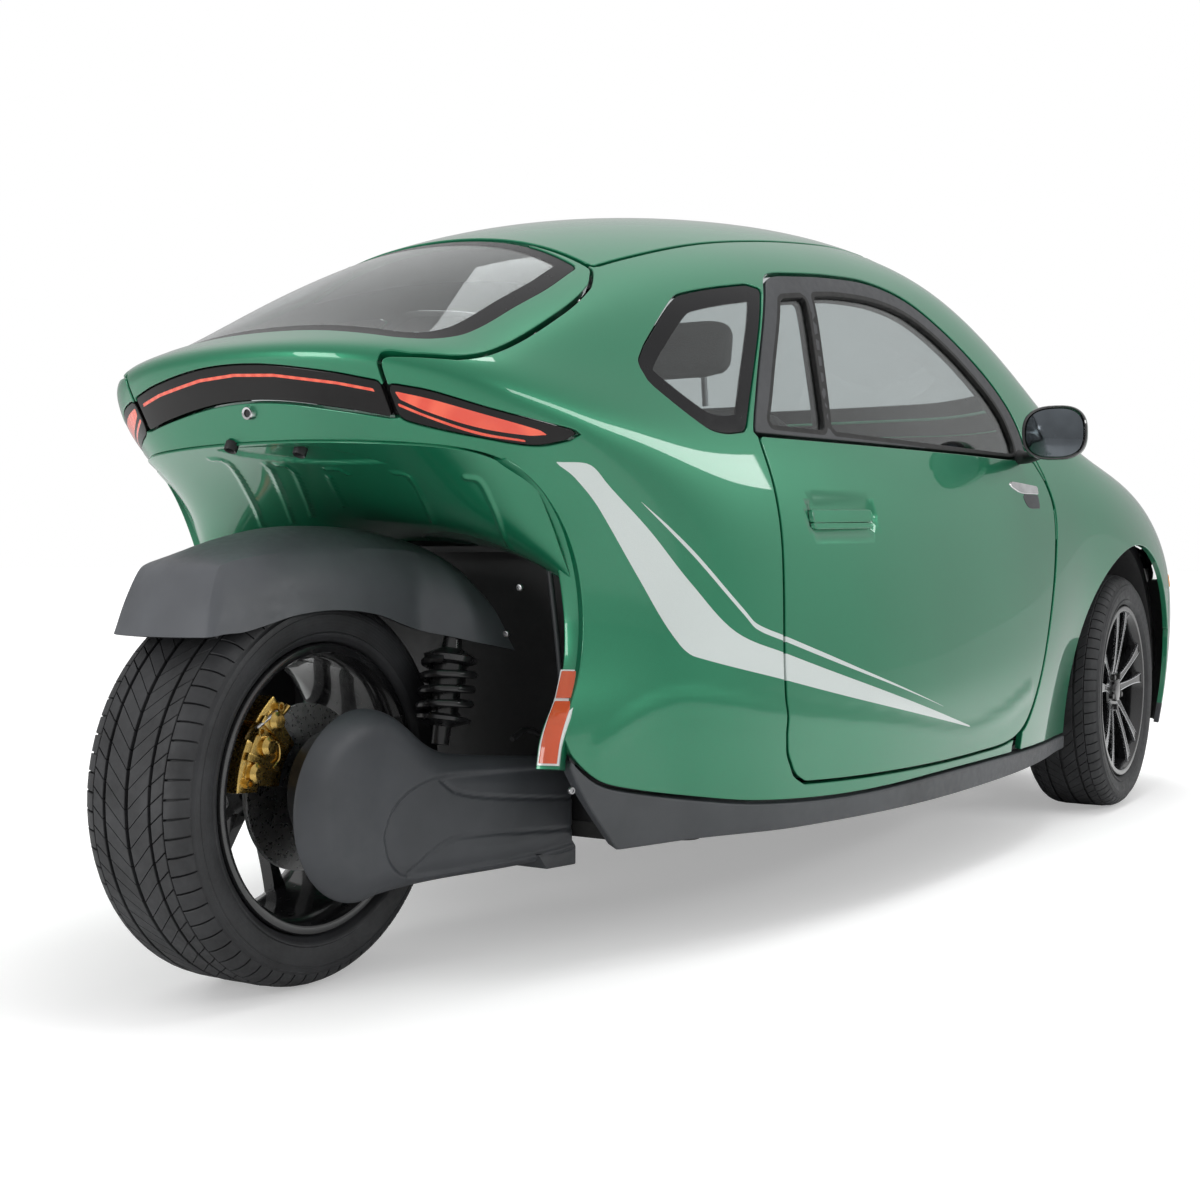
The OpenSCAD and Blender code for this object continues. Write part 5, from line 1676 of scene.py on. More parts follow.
@dataclass
class Rim:
    """Wheel with five pairs of spokes near its outer face."""

    name: str
    centre: Triple
    width: float
    out: int
    finish: Finishes
    array: RingArray
    edged: bool = True
    r: float = 0.234
    hub_in: float = 0.028

    def barrel(self) -> bpy.types.Object:
        """Lathed barrel with a lip on both sides."""
        h, r = self.width / 2, self.r
        outer = [(r - 0.010, h - 0.0080), (r - 0.003, h - 0.0085), (r - 0.001, h - 0.011), (r, h - 0.018),
                 (r - 0.006, h - 0.030), (r - 0.020, h - 0.044), (r - 0.021, 0.0)]
        inner = [(r - 0.025, 0.0), (r - 0.026, h - 0.050), (r - 0.024, h - 0.026), (r - 0.018, h - 0.016),
                 (r - 0.015, h - 0.0092)]
        loop = outer + [(a, -b) for a, b in outer[-2::-1]] + [(a, -b) for a, b in inner[::-1]] + inner[1:]
        return lathe(self.name + "_barrel", loop, [self.finish.rim_black], self.centre, steps=120)

    def bar(self, word: str, way: int, mat: bpy.types.Material, raised: bool) -> bpy.types.Object:
        """One spoke of a pair, repeated five times.

        Args:
            word: Name of the piece.
            way: Which of the pair, as a sign.
            mat: Material.
            raised: Whether this is the bright edge on the spoke's face.

        Returns:
            The five spokes.
        """
        face = self.width / 2 - 0.014
        along = np.linspace(0, 1, 9)
        rad = 0.042 + (self.r - 0.020 - 0.042) * along
        half = 0.0115 - 0.0035 * np.sin(along * math.pi) + 0.004 * along ** 4
        off = way * (0.011 + 0.030 * along + 0.006 * along ** 3)
        top = face - 0.017 * (1 - along) ** 1.5 + 0.004 * along - 0.004
        rings = []
        for k in range(len(along)):
            if raised:
                ring = []
                for sign in (-1, 1):
                    e = half[k] * sign
                    ring.append([(e, top[k] - 0.0060), (e, top[k] + 0.0004),
                                 (e - sign * 0.0026, top[k] + 0.0006),
                                 (e - sign * 0.0026, top[k] - 0.0060)])
                rings.append(ring)
            else:
                w = half[k] - 0.0006
                rings.append([[(-w, top[k] - 0.026), (-w, top[k] - 0.0020), (-w + 0.002, top[k] - 0.0004),
                               (w - 0.002, top[k] - 0.0004), (w, top[k] - 0.0020), (w, top[k] - 0.026)]])
        pts, faces = [], []
        for j in range(len(rings[0])):
            n = len(rings[0][j])
            start = len(pts)
            for k in range(len(along)):
                for t, y in rings[k][j]:
                    pts.append((off[k] + t, self.out * y, rad[k]))
            for k in range(len(along) - 1):
                faces += [(start + k * n + i, start + k * n + (i + 1) % n,
                           start + (k + 1) * n + (i + 1) % n, start + (k + 1) * n + i) for i in range(n)]
            faces += [tuple(start + i for i in range(n)),
                      tuple(start + (len(along) - 1) * n + i for i in range(n))]
        part = tidy(solid(word, np.array(pts) + np.array(self.centre), faces, [mat]), 1e-7, 30)
        return self.array.around(part, 5, self.centre, mat)

    def hub(self) -> list[bpy.types.Object]:
        """Hub, cap and nuts."""
        face = self.width / 2 - 0.014
        axis = (0, self.out, 0)
        f = self.finish
        body = lathe(self.name + "_hub",
                     [(0.0, -self.hub_in), (0.040, -self.hub_in), (0.042, face - 0.052),
                      (0.060, face - 0.044), (0.062, face - 0.026), (0.058, face - 0.021),
                      (0.034, face - 0.020), (0.0, face - 0.020)], [f.rim_black], self.centre, axis, 64,
                     closed=False)
        cap = lathe(self.name + "_cap",
                    [(0.0, face - 0.022), (0.031, face - 0.022), (0.031, face - 0.014),
                     (0.028, face - 0.010), (0.020, face - 0.0082), (0.0, face - 0.0078)], [f.piano],
                    self.centre, axis, 48, closed=False)
        c = np.array(self.centre)
        first = tuple(c + np.array([0.0, 0.0, 0.046]))
        nut = lathe(self.name + "_nuts",
                    [(0.0, face - 0.024), (0.0085, face - 0.024), (0.0085, face - 0.012),
                     (0.0065, face - 0.010), (0.0, face - 0.010)], [f.dark_steel], first, axis, 6,
                    closed=False)
        return [body, cap, self.array.around(nut, 5, self.centre, f.dark_steel, math.pi / 5)]

    def build(self, body: str, *nodes: str) -> None:
        """Makes the wheel and hands it to its body."""
        f = self.finish
        attach(self.barrel(), body, "rim_black", *nodes)
        for way, word in ((1, "a"), (-1, "b")):
            attach(self.bar(f"{self.name}_spokes_{word}", way, f.rim_black, False), body, "rim_black")
            if self.edged:
                attach(self.bar(f"{self.name}_edges_{word}", way, f.machined, True), body, "disc_steel")
        for piece in self.hub():
            attach(piece, body, "rim_black")


@dataclass
class FrontCorner:
    """Front wheel of one side with its disc."""

    side: Side
    finish: Finishes
    array: RingArray
    x: float = 2.605
    y: float = 0.6175
    width: float = 0.205

    def build(self) -> None:
        """Makes the wheel and the disc."""
        f, s, word = self.finish, self.side.value, self.side.word
        centre = (self.x, s * self.y, 0.32)
        body = f"front_wheel_{word}"
        Tyre(f"front_tyre_{word}", centre, self.width, f.tyre_front, f.tread, self.array).build(
            body, f"tyre_front_{word}")
        Rim(f"front_rim_{word}", centre, self.width, s, f, self.array).build(body, f"rim_front_{word}")
        disc_part = lathe(f"front_disc_{word}",
                          [(0.041, -0.027), (0.128, -0.027), (0.128, -0.0245), (0.126, -0.0240),
                           (0.126, -0.0220), (0.128, -0.0215), (0.128, -0.019), (0.041, -0.019)], [f.disc],
                          centre, (0, s, 0), 96)
        attach(disc_part, body, "disc_steel")


def dress(obj: bpy.types.Object, mat: bpy.types.Material) -> None:
    """Gives a construction node a better material."""
    obj.data.materials.clear()
    obj.data.materials.append(mat)


# ---- lines and lofts ------------------------------------------------------------
class Trace:
    """Open line seen from one direction, as a distance field."""

    def __init__(self, points: Sequence[Pair], plane: Plane, steps: int = 5) -> None:
        """Keeps a smooth line through the points.

        Args:
            points: Points in millimetres.
            plane: Direction it is looked at from.
            steps: Points made between two given ones.
        """
        self.line = through(np.array(points, float) / 1000, steps)
        self.axes = list(plane.value)

    def __call__(self, p: np.ndarray) -> np.ndarray:
        """Distance of points from the line."""
        q = p[:, self.axes]
        a, b = self.line[:-1], self.line[1:]
        d = b - a
        dd = np.maximum((d * d).sum(1), 1e-12)
        out = np.full(len(q), 0.05)
        low, high = self.line.min(0) - 0.03, self.line.max(0) + 0.03
        close = np.flatnonzero(((q > low) & (q < high)).all(1))
        for part in np.array_split(close, max(1, len(close) // 20000)):
            s = q[part][:, None, :]
            t = np.clip(((s - a) * d).sum(2) / dd, 0, 1)
            gap = s - a - t[..., None] * d
            out[part] = np.sqrt((gap * gap).sum(2).min(1)) if len(part) else out[part]
        return out


def swell(d: np.ndarray, reach: float) -> np.ndarray:
    """Smooth rise from 0 at a distance of reach to 1 at no distance."""
    t = np.clip(1 - d / reach, 0, 1)
    return t * t * (3 - 2 * t)


def loft(name: str, rings: np.ndarray, mats: Sequence[bpy.types.Material], wall: float, inner: int = 0,
         sharp: float = 40.0) -> bpy.types.Object:
    """Open shell through rows of points, with a wall behind it.

    Args:
        name: Name of the piece.
        rings: Rows of points, all of the same length.
        mats: Materials; the first is outside.
        wall: Thickness of the wall.
        inner: Material number of the inside and the edge.
        sharp: Angle above which an edge is hard.

    Returns:
        The new object.
    """
    k, n, _ = rings.shape
    du, dv = np.gradient(rings, axis=0), np.gradient(rings, axis=1)
    nor = np.cross(du, dv)
    nor /= np.maximum(np.linalg.norm(nor, axis=2, keepdims=True), 1e-12)
    back = rings - nor * wall
    pts = np.concatenate([rings.reshape(-1, 3), back.reshape(-1, 3)])
    m = k * n
    faces, tags = [], []
    for i in range(k - 1):
        for j in range(n - 1):
            a = i * n + j
            faces += [(a, a + n, a + n + 1, a + 1), (m + a, m + a + 1, m + a + n + 1, m + a + n)]
            tags += [0, inner]
    rim = [i for i in range(n)] + [i * n + n - 1 for i in range(1, k)] + [
        (k - 1) * n + j for j in range(n - 2, -1, -1)]
    rim += [i * n for i in range(k - 2, 0, -1)]
    for a, b in zip(rim, rim[1:] + rim[:1]):
        faces.append((a, b, m + b, m + a))
        tags.append(inner)
    return tidy(solid(name, pts, faces, mats, tags), 1e-7, sharp)


def screw(name: str, at: Triple, axis: Triple, mat: bpy.types.Material,
          r: float = 0.006) -> bpy.types.Object:
    """Round screw head with a sunk middle."""
    profile = [(0.0, 0.0008), (r * 0.45, 0.0008), (r * 0.5, 0.0026), (r * 0.85, 0.0022), (r, 0.0010),
               (r, -0.003)]
    return lathe(name, profile, [mat], at, axis, 20, closed=False)


# ---- rear wheel and its arm ------------------------------------------------------
@dataclass
class ArmCover:
    """Smooth cover of the one-sided rear arm."""

    finish: Finishes
    cover: tuple[float, float, float] = (12.0, 296.0, 156.0)

    def outline(self) -> Outline:
        """Round cover that runs into the straight arm."""
        x0, z0, r = self.cover
        arc = [(x0 + r * math.cos(math.radians(a)), z0 + r * math.sin(math.radians(a)))
               for a in range(56, 292, 12)]
        return Outline(
            arc + [(162, 152), (300, 156), (466, 162), (466, 340), (377, 346), (230, 360), (165, 374)],
            Plane.SIDE, 0.004)

    def build(self) -> None:
        """Makes the cover's outer skin, its ledge and the dark plate under it."""
        f = self.finish
        edge = self.outline()
        channel = Outline([(152, 331), (94, 313), (56, 283), (37, 245), (47, 206), (68, 181), (100, 168),
                           (200, 166), (330, 172), (520, 184), (520, 322), (300, 330)], Plane.SIDE, 0.004)
        seams = [Trace([(160, 322), (190, 300), (260, 285), (462, 262)], Plane.SIDE),
                 Trace([(96, 172), (171, 219), (240, 224), (462, 210)], Plane.SIDE)]

        def depth(x: np.ndarray, z: np.ndarray) -> np.ndarray:
            """Height of the cover's skin, with its ledge and seams."""
            p = np.column_stack([x, np.zeros_like(x), z])
            d = np.clip(-edge(p), 0, 0.06)
            t = np.clip((x - 0.02) / 0.42, 0, 1)
            y = 0.196 + 0.110 * t * t * (3 - 2 * t)
            y = y - 0.040 * (1 - np.sqrt(np.clip(1 - (1 - np.clip(d / 0.052, 0, 1)) ** 2, 0, 1)))
            y = y - 0.0075 * swell(channel(p) + 0.009, 0.012)
            for line in seams:
                y = y - 0.0026 * swell(line(p), 0.0058)
            return -y
        p = Patch(HeightSurface(depth, -1), (-0.16, 0.48, 0.12, 0.46), 0.0042, 0.0042).keep(
            grown(edge, -0.002))
        attach(p.shell("arm_cover", [f.arm, f.black], 0.010, roll=0.0018), "chassis", "arm_grey",
               "swingarm")
        core = lathe("arm_core",
                     [(0.0, 0.060), (0.023, 0.060), (0.024, -0.108), (0.096, -0.112), (0.100, -0.150),
                      (0.09, -0.160), (0.0, -0.160)], [f.black], (0.0, 0.0, 0.32), (0, 1, 0), 64,
                     closed=False)
        attach(core, "chassis", "arm_grey")
        beam = slab("arm_beam", [(0.06, 0.19), (0.46, 0.19), (0.46, 0.32), (0.06, 0.34)], Plane.SIDE,
                    -0.186, -0.132, f.black, 0.012)
        attach(beam, "chassis", "arm_grey")
        plate = slab("arm_plate", [(0.345, 0.176), (0.468, 0.176), (0.468, 0.140), (0.375, 0.146)],
                     Plane.SIDE, -0.285, -0.150, f.charcoal, 0.004)
        attach(plate, "chassis", "arm_grey")


@dataclass
class Fender:
    """Grey fender over the rear wheel."""

    finish: Finishes

    # Middle x and z, shoulder x, y and z, lower edge x, y and z of each section from the tail forward.
    SECTIONS = (
        (-262, 572, -252, 96, 573, -240, 108, 575), (-243, 622, -236, 90, 625, -228, 111, 577),
        (-226, 664, -216, 84, 668, -212, 115, 578), (-208, 683, -202, 82, 680, -196, 119, 579),
        (-160, 703, -158, 88, 690, -155, 126, 588), (-90, 724, -90, 100, 698, -90, 131, 602),
        (0, 740, 0, 109, 703, 0, 134, 607), (100, 743, 100, 114, 705, 96, 137, 597),
        (180, 739, 172, 116, 703, 165, 142, 576), (215, 733, 207, 118, 700, 205, 149, 565),
        (255, 727, 238, 124, 694, 230, 188, 556), (292, 718, 262, 140, 684, 256, 216, 547),
        (325, 706, 284, 156, 668, 286, 232, 540), (350, 694, 304, 170, 650, 316, 239, 534),
        (366, 684, 316, 180, 634, 336, 243, 530))

    def build(self) -> None:
        """Makes the fender with its shoulder crease and flare."""
        rows = np.array(self.SECTIONS, float) / 1000
        dense = through(rows, 5)
        rings = []
        for mx, mz, sx, sy, sz, bx, by, bz in dense:
            half = []
            for t in np.linspace(0, 1, 9)[:-1]:
                half.append((mx + (sx - mx) * t * t, sy * t, mz + (sz - mz) * t ** 2.4))
            for t in np.linspace(0, 1, 12):
                x, z = sx + (bx - sx) * t, sz + (bz - sz) * t
                bow = 0.010 * math.sin(math.pi * min(t * 1.25, 1)) * (1 if sx > -0.15 else 0.4)
                flare = 0.010 * math.exp(-((sx - 0.262) / 0.020) ** 2) * math.sin(math.pi * t) ** 1.5
                y = sy + (by - sy) * t ** 0.8 + bow * 0.4 + flare
                half.append((x, y, z))
            left = np.array(half)
            rings.append(np.concatenate([left[::-1], left[1:] * [1, -1, 1]]))
        f = self.finish
        shell = loft("wheel_fender", np.array(rings)[:, ::-1], [f.fender, f.black], 0.004, 1, 26)
        attach(shell, "chassis", "grey_plastic", "rear_fender")


@dataclass
class Shock:
    """Spring and damper beside the rear wheel."""

    finish: Finishes
    foot: Triple = (0.214, -0.178, 0.404)
    lean: float = 12.0
    turns: float = 3.6

    def build(self) -> None:
        """Makes the damper, the spring and its seats."""
        f = self.finish
        a = math.radians(self.lean)
        axis = (math.sin(a), 0.0, math.cos(a))
        damper = lathe(
            "shock_damper",
            [(0.0, -0.030), (0.015, -0.030), (0.016, 0.000), (0.026, 0.004), (0.046, 0.010), (0.047, 0.016),
             (0.038, 0.019), (0.024, 0.022), (0.024, 0.060), (0.030, 0.064), (0.030, 0.106), (0.044, 0.111),
             (0.046, 0.120), (0.018, 0.134), (0.012, 0.182), (0.0, 0.183)], [f.dark_steel], self.foot, axis,
            48, closed=False)
        attach(damper, "chassis", "steel_black", "rear_shock")
        u = np.array([math.cos(a), 0.0, -math.sin(a)])
        v = np.array([0.0, 1.0, 0.0])
        path = []
        for k in range(int(self.turns * 16) + 1):
            t = k / (self.turns * 16)
            ang = 2 * math.pi * self.turns * t
            path.append(tuple(np.array(self.foot) + np.array(axis) * (0.022 + 0.090 * t) + 0.043
                              * (math.cos(ang) * u + math.sin(ang) * v)))
        spring = tube("shock_spring", path, 0.0068, f.dark_steel, 10, 1)
        attach(spring, "chassis", "steel_black")


@dataclass
class Caliper:
    """Two-part brake caliper of the rear disc."""

    finish: Finishes
    hub: tuple[float, float] = (0.0, 0.32)

    def sector(self, r0: float, r1: float, a0: float, a1: float) -> list[Pair]:
        """Outline of a part of a ring between two radii and two angles."""
        inside = [math.radians(a) for a in np.linspace(a0, a1, 10)]
        hx, hz = self.hub
        line = [(hx + r1 * math.cos(a), hz + r1 * math.sin(a)) for a in inside]
        return line + [(hx + r0 * math.cos(a), hz + r0 * math.sin(a)) for a in inside[::-1]]

    def build(self) -> None:
        """Makes the halves, bridges, bolts and pins, and the disc."""
        f = self.finish
        parts = [
            slab("half_out", self.sector(0.098, 0.178, 128, 172), Plane.SIDE, -0.098, -0.076, f.gold,
                 0.004),
            slab("half_in", self.sector(0.098, 0.178, 128, 172), Plane.SIDE, -0.046, -0.032, f.gold, 0.003),
            slab("bridge_a", self.sector(0.143, 0.190, 124, 141), Plane.SIDE, -0.096, -0.034, f.gold,
                 0.004),
            slab("bridge_b", self.sector(0.143, 0.190, 150, 176), Plane.SIDE, -0.096, -0.034, f.gold,
                 0.004),
            slab("rib_a", self.sector(0.112, 0.186, 136, 140), Plane.SIDE, -0.104, -0.090, f.gold, 0.002),
            slab("rib_b", self.sector(0.112, 0.186, 156, 160), Plane.SIDE, -0.104, -0.090, f.gold, 0.002)]
        for a, r in ((133, 0.160), (148, 0.150), (165, 0.160)):
            t = math.radians(a)
            at = (r * math.cos(t), -0.094, 0.32 + r * math.sin(t))
            parts.append(lathe(f"boss_{a}",
                               [(0.0, 0.018), (0.010, 0.018), (0.0125, 0.013), (0.016, 0.011),
                                (0.016, -0.004)], [f.gold], at, (0, -1, 0), 28, closed=False))
        for a, r in ((126, 0.172), (144, 0.178), (171, 0.172)):
            t = math.radians(a)
            at = (r * math.cos(t), -0.094, 0.32 + r * math.sin(t))
            parts.append(lathe(f"bolt_{a}",
                               [(0.0, 0.006), (0.004, 0.006), (0.0045, 0.012), (0.0075, 0.012),
                                (0.0075, 0.0)], [f.gold], at, (0, -1, 0), 12, closed=False))
        parts.append(tube("bleed", [(-0.086, -0.088, 0.442), (-0.082, -0.096, 0.452),
                                    (-0.078, -0.100, 0.460)], 0.0045, f.gold, 12))
        parts.append(tube("pin_a", [(-0.150, -0.100, 0.430), (-0.108, -0.102, 0.452)], 0.0035, f.steel, 10))
        parts.append(tube("clip",
                          [(-0.130, -0.101, 0.392), (-0.108, -0.104, 0.405), (-0.100, -0.101, 0.380),
                           (-0.118, -0.104, 0.366)], 0.0018, f.gold, 8))
        piece = merged("gold_caliper_body", parts)
        attach(piece, "chassis", "gold_caliper", "rear_caliper")
        disc_part = lathe("rear_disc",
                          [(0.031, -0.0665), (0.060, -0.0665), (0.064, -0.066), (0.135, -0.066),
                           (0.135, -0.0635), (0.132, -0.063), (0.132, -0.0595), (0.135, -0.059),
                           (0.135, -0.0555), (0.031, -0.0555)], [f.disc], (0.0, 0.0, 0.32), (0, 1, 0), 96)
        attach(disc_part, "rear_wheel", "disc_steel", "disc_rear")


@dataclass
class RearWheel:
    """Wide wheel at the tail."""

    finish: Finishes
    array: RingArray
    width: float = 0.225

    def build(self) -> None:
        """Makes the tyre and the rim, open towards the arm."""
        f = self.finish
        centre = (0.0, 0.0, 0.32)
        Tyre("rear_tyre", centre, self.width, f.tyre, f.tread, self.array).build("rear_wheel", "tyre_rear")
        Rim("rear_rim", centre, self.width, 1, f, self.array, edged=False, hub_in=0.056).build(
            "rear_wheel", "rim_rear")


@dataclass
class TailDetails:
    """Lock, plugs, reflectors and the parts seen inside the wheelhouse."""

    finish: Finishes

    # Side outline of the dark backing behind the gap beside the lamps.
    GUTTER = ((0.000, 0.895), (-0.014, 0.923), (-0.029, 0.948), (-0.043, 0.971), (-0.050, 0.985),
              (-0.036, 0.985), (-0.015, 0.948), (0.014, 0.895))

    def ribbon(self, name: str, path: Sequence[Triple], half: float, out: float, mat: bpy.types.Material,
               deep: float = 0.006) -> bpy.types.Object:
        """Flat strip along a path that looks to the tail.

        Args:
            name: Name of the piece.
            path: Points of its middle.
            half: Half its width.
            out: How far its face stands out.
            mat: Material.
            deep: How far it reaches in behind its face.

        Returns:
            The new object.
        """
        line = through(np.array(path, float), 6)
        t = np.gradient(line, axis=0)
        t /= np.linalg.norm(t, axis=1, keepdims=True)
        side = np.array([0.35, math.copysign(1.0, path[0][1]), 0.0]) / math.hypot(1, 0.35)
        n = np.cross(t, side)
        n *= np.sign(-n[:, :1])
        n /= np.linalg.norm(n, axis=1, keepdims=True)
        rings = []
        for s, h in ((-1.0, -deep), (-1.0, out - 0.0012), (-0.86, out), (0.86, out), (1.0, out - 0.0012),
                     (1.0, -deep)):
            rings.append(line + side * (half * s) + n * h)
        k = len(line)
        pts = np.concatenate(rings)
        m = len(rings)
        faces = [(i * k + j, i * k + j + 1, ((i + 1) % m) * k + j + 1, ((i + 1) % m) * k + j)
                 for i in range(m) for j in range(k - 1)]
        faces += [tuple(i * k for i in range(m)), tuple(i * k + k - 1 for i in range(m))]
        return tidy(solid(name, pts, faces, [mat]), 1e-7, 30)

    def build(self) -> None:
        """Makes the small parts of the tail."""
        f = self.finish
        at = (-0.058, 0.0, 0.921)
        lock = lathe("boot_lock", [(0.0, 0.002), (0.0062, 0.002), (0.0066, 0.0042), (0.0098, 0.0056),
                                   (0.0108, 0.0040), (0.0108, -0.006)],
                     [f.chrome, f.black], at, (-1, 0, -0.1), 40, [1, 1, 0, 0, 0], closed=False)
        attach(lock, "chassis", "disc_steel")
        for k, (x, y, z) in enumerate(((-0.030, 0.065, 0.872), (-0.006, -0.062, 0.862))):
            plug = lathe(f"tail_plug_{k}",
                         [(0.0, 0.003), (0.0062, 0.003), (0.0070, 0.0075), (0.0100, 0.0090),
                          (0.0112, 0.0060), (0.0112, -0.006)], [f.black], (x, y, z), (-0.45, 0, -0.9), 32,
                         closed=False)
            attach(plug, "chassis", "black_plastic")
        pieces, returns, gutters = [], [], []
        for s in Side:
            y = s.value
            path = [(0.2590, 0.409 * y, 0.506), (0.2365, 0.412 * y, 0.462), (0.2090, 0.416 * y, 0.431),
                    (0.1880, 0.416 * y, 0.396), (0.1780, 0.416 * y, 0.358)]
            back = [
                (0.100, 0.366 * y, 0.842), (0.155, 0.386 * y, 0.812), (0.190, 0.396 * y, 0.780),
                (0.228, 0.404 * y, 0.728), (0.254, 0.406 * y, 0.676), (0.272, 0.407 * y, 0.600),
                (0.272, 0.409 * y, 0.547), (0.262, 0.412 * y, 0.507), (0.2400, 0.413 * y, 0.463),
                (0.2125, 0.413 * y, 0.432), (0.1915, 0.413 * y, 0.396), (0.1815, 0.413 * y, 0.352)]
            returns.append(self.ribbon(f"return_{s.word}", back, 0.0195, -0.002, f.paint, 0.040))
            pieces.append(self.ribbon(f"bezel_{s.word}", path, 0.0180, 0.0016, f.bezel))
            top = [(0.2575, 0.409 * y, 0.503), (0.2470, 0.410 * y, 0.482), (0.2350, 0.412 * y, 0.461)]
            low = [(0.2310, 0.4125 * y, 0.455), (0.2090, 0.415 * y, 0.431), (0.1885, 0.416 * y, 0.396),
                   (0.1788, 0.416 * y, 0.361)]
            pieces.append(self.ribbon(f"upper_{s.word}", top, 0.0150, 0.0040, f.reflector))
            pieces.append(self.ribbon(f"lower_{s.word}", low, 0.0150, 0.0040, f.reflector))
            gutters.append(slab(f"gutter_{s.word}", self.GUTTER, Plane.SIDE,
                                *sorted((0.256 * y, 0.292 * y)), f.black, 0.002))
        attach(merged("lamp_gutters", gutters), "chassis", "black_plastic")
        attach(merged("tail_reflectors", pieces), "chassis", "amber", "reflectors")
        attach(merged("flank_returns", returns), "chassis", "body_paint")
        for k, (at, axis) in enumerate((((0.268, -0.300, 0.640), (-1, 0, 0)),
                                        ((0.300, -0.250, 0.560), (-1, 0, 0)),
                                        ((0.215, -0.438, 0.315), (-0.4, -1, 0)))):
            attach(screw(f"screw_{k}", at, axis, f.steel), "chassis", "cast")
        bars = [tube("brace_right", [(0.30, -0.335, 0.700), (0.315, -0.345, 0.55), (0.325, -0.352, 0.42)],
                     0.005, f.frame_grey, 10),
                tube("brace_left", [(0.30, 0.335, 0.700), (0.315, 0.345, 0.55), (0.325, 0.352, 0.42)],
                     0.005, f.frame_grey, 10)]
        for b in bars:
            attach(b, "chassis", "steel_black")
        hose = tube("brake_hose",
                    [(0.30, -0.262, 0.38), (0.345, -0.262, 0.392), (0.40, -0.268, 0.372),
                     (0.455, -0.275, 0.366)], 0.005, f.black, 10)
        attach(hose, "chassis", "black_plastic")


# ---- small outside parts ---------------------------------------------------------
class PressedForms:
    """Creases, ribs and recesses pressed into the panels."""

    def __init__(self) -> None:
        """Sets out the lines, in millimetres from the rear axle."""
        self.crease = Trace([(279, 376), (360, 425), (453, 446), (660, 408), (1000, 360), (1362, 311),
                             (1600, 330), (1791, 377)], Plane.SIDE)
        self.grip = Outline([(800, 730), (1040, 736), (1040, 802), (800, 800)], Plane.SIDE, 0.028)
        self.ribs = [Trace(p, Plane.PLAN) for p in (
            [(7, 148), (9, 128), (21, 122), (55, 134), (96, 154), (147, 180), (200, 214)],
            [(27, 44), (49, 51), (97, 78), (150, 110), (210, 150)],
            [(31, 23), (36, 8), (51, 5), (102, 32), (150, 62), (195, 92)],
            [(49, -69), (50, -92), (64, -101)],
            [(71, -55), (115, -32), (165, -7)],
            [(60, -199), (63, -216), (70, -223), (101, -217), (149, -197), (215, -162)],
            [(91, -318), (101, -332), (110, -335), (132, -333), (165, -327), (240, -302)])]
        self.plate = Outline([(-20, 108), (-22, 0), (-18, -60), (-12, -105), (35, -206), (32, -55),
                              (4, 66)], Plane.PLAN, 0.006)

    def on_body(self, p: np.ndarray) -> np.ndarray:
        """Height of the forms on the outer skin."""
        side = np.abs(p[:, 1]) > 0.38
        out = 0.0030 * swell(self.crease(p), 0.034)
        out = out - 0.0095 * swell(self.grip(p) + 0.012, 0.016)
        return np.where(side, out, 0.0)

    def on_belly(self, p: np.ndarray) -> np.ndarray:
        """Height of the forms on the tail's underside."""
        out = -0.0055 * swell(self.plate(p) + 0.005, 0.007)
        for rib in self.ribs:
            out = out + 0.0030 * swell(rib(p), 0.0075)
        return out

    def build(self) -> None:
        """Presses the forms into both surfaces."""
        BODY.relief = self.on_body
        BELLY.relief = self.on_belly


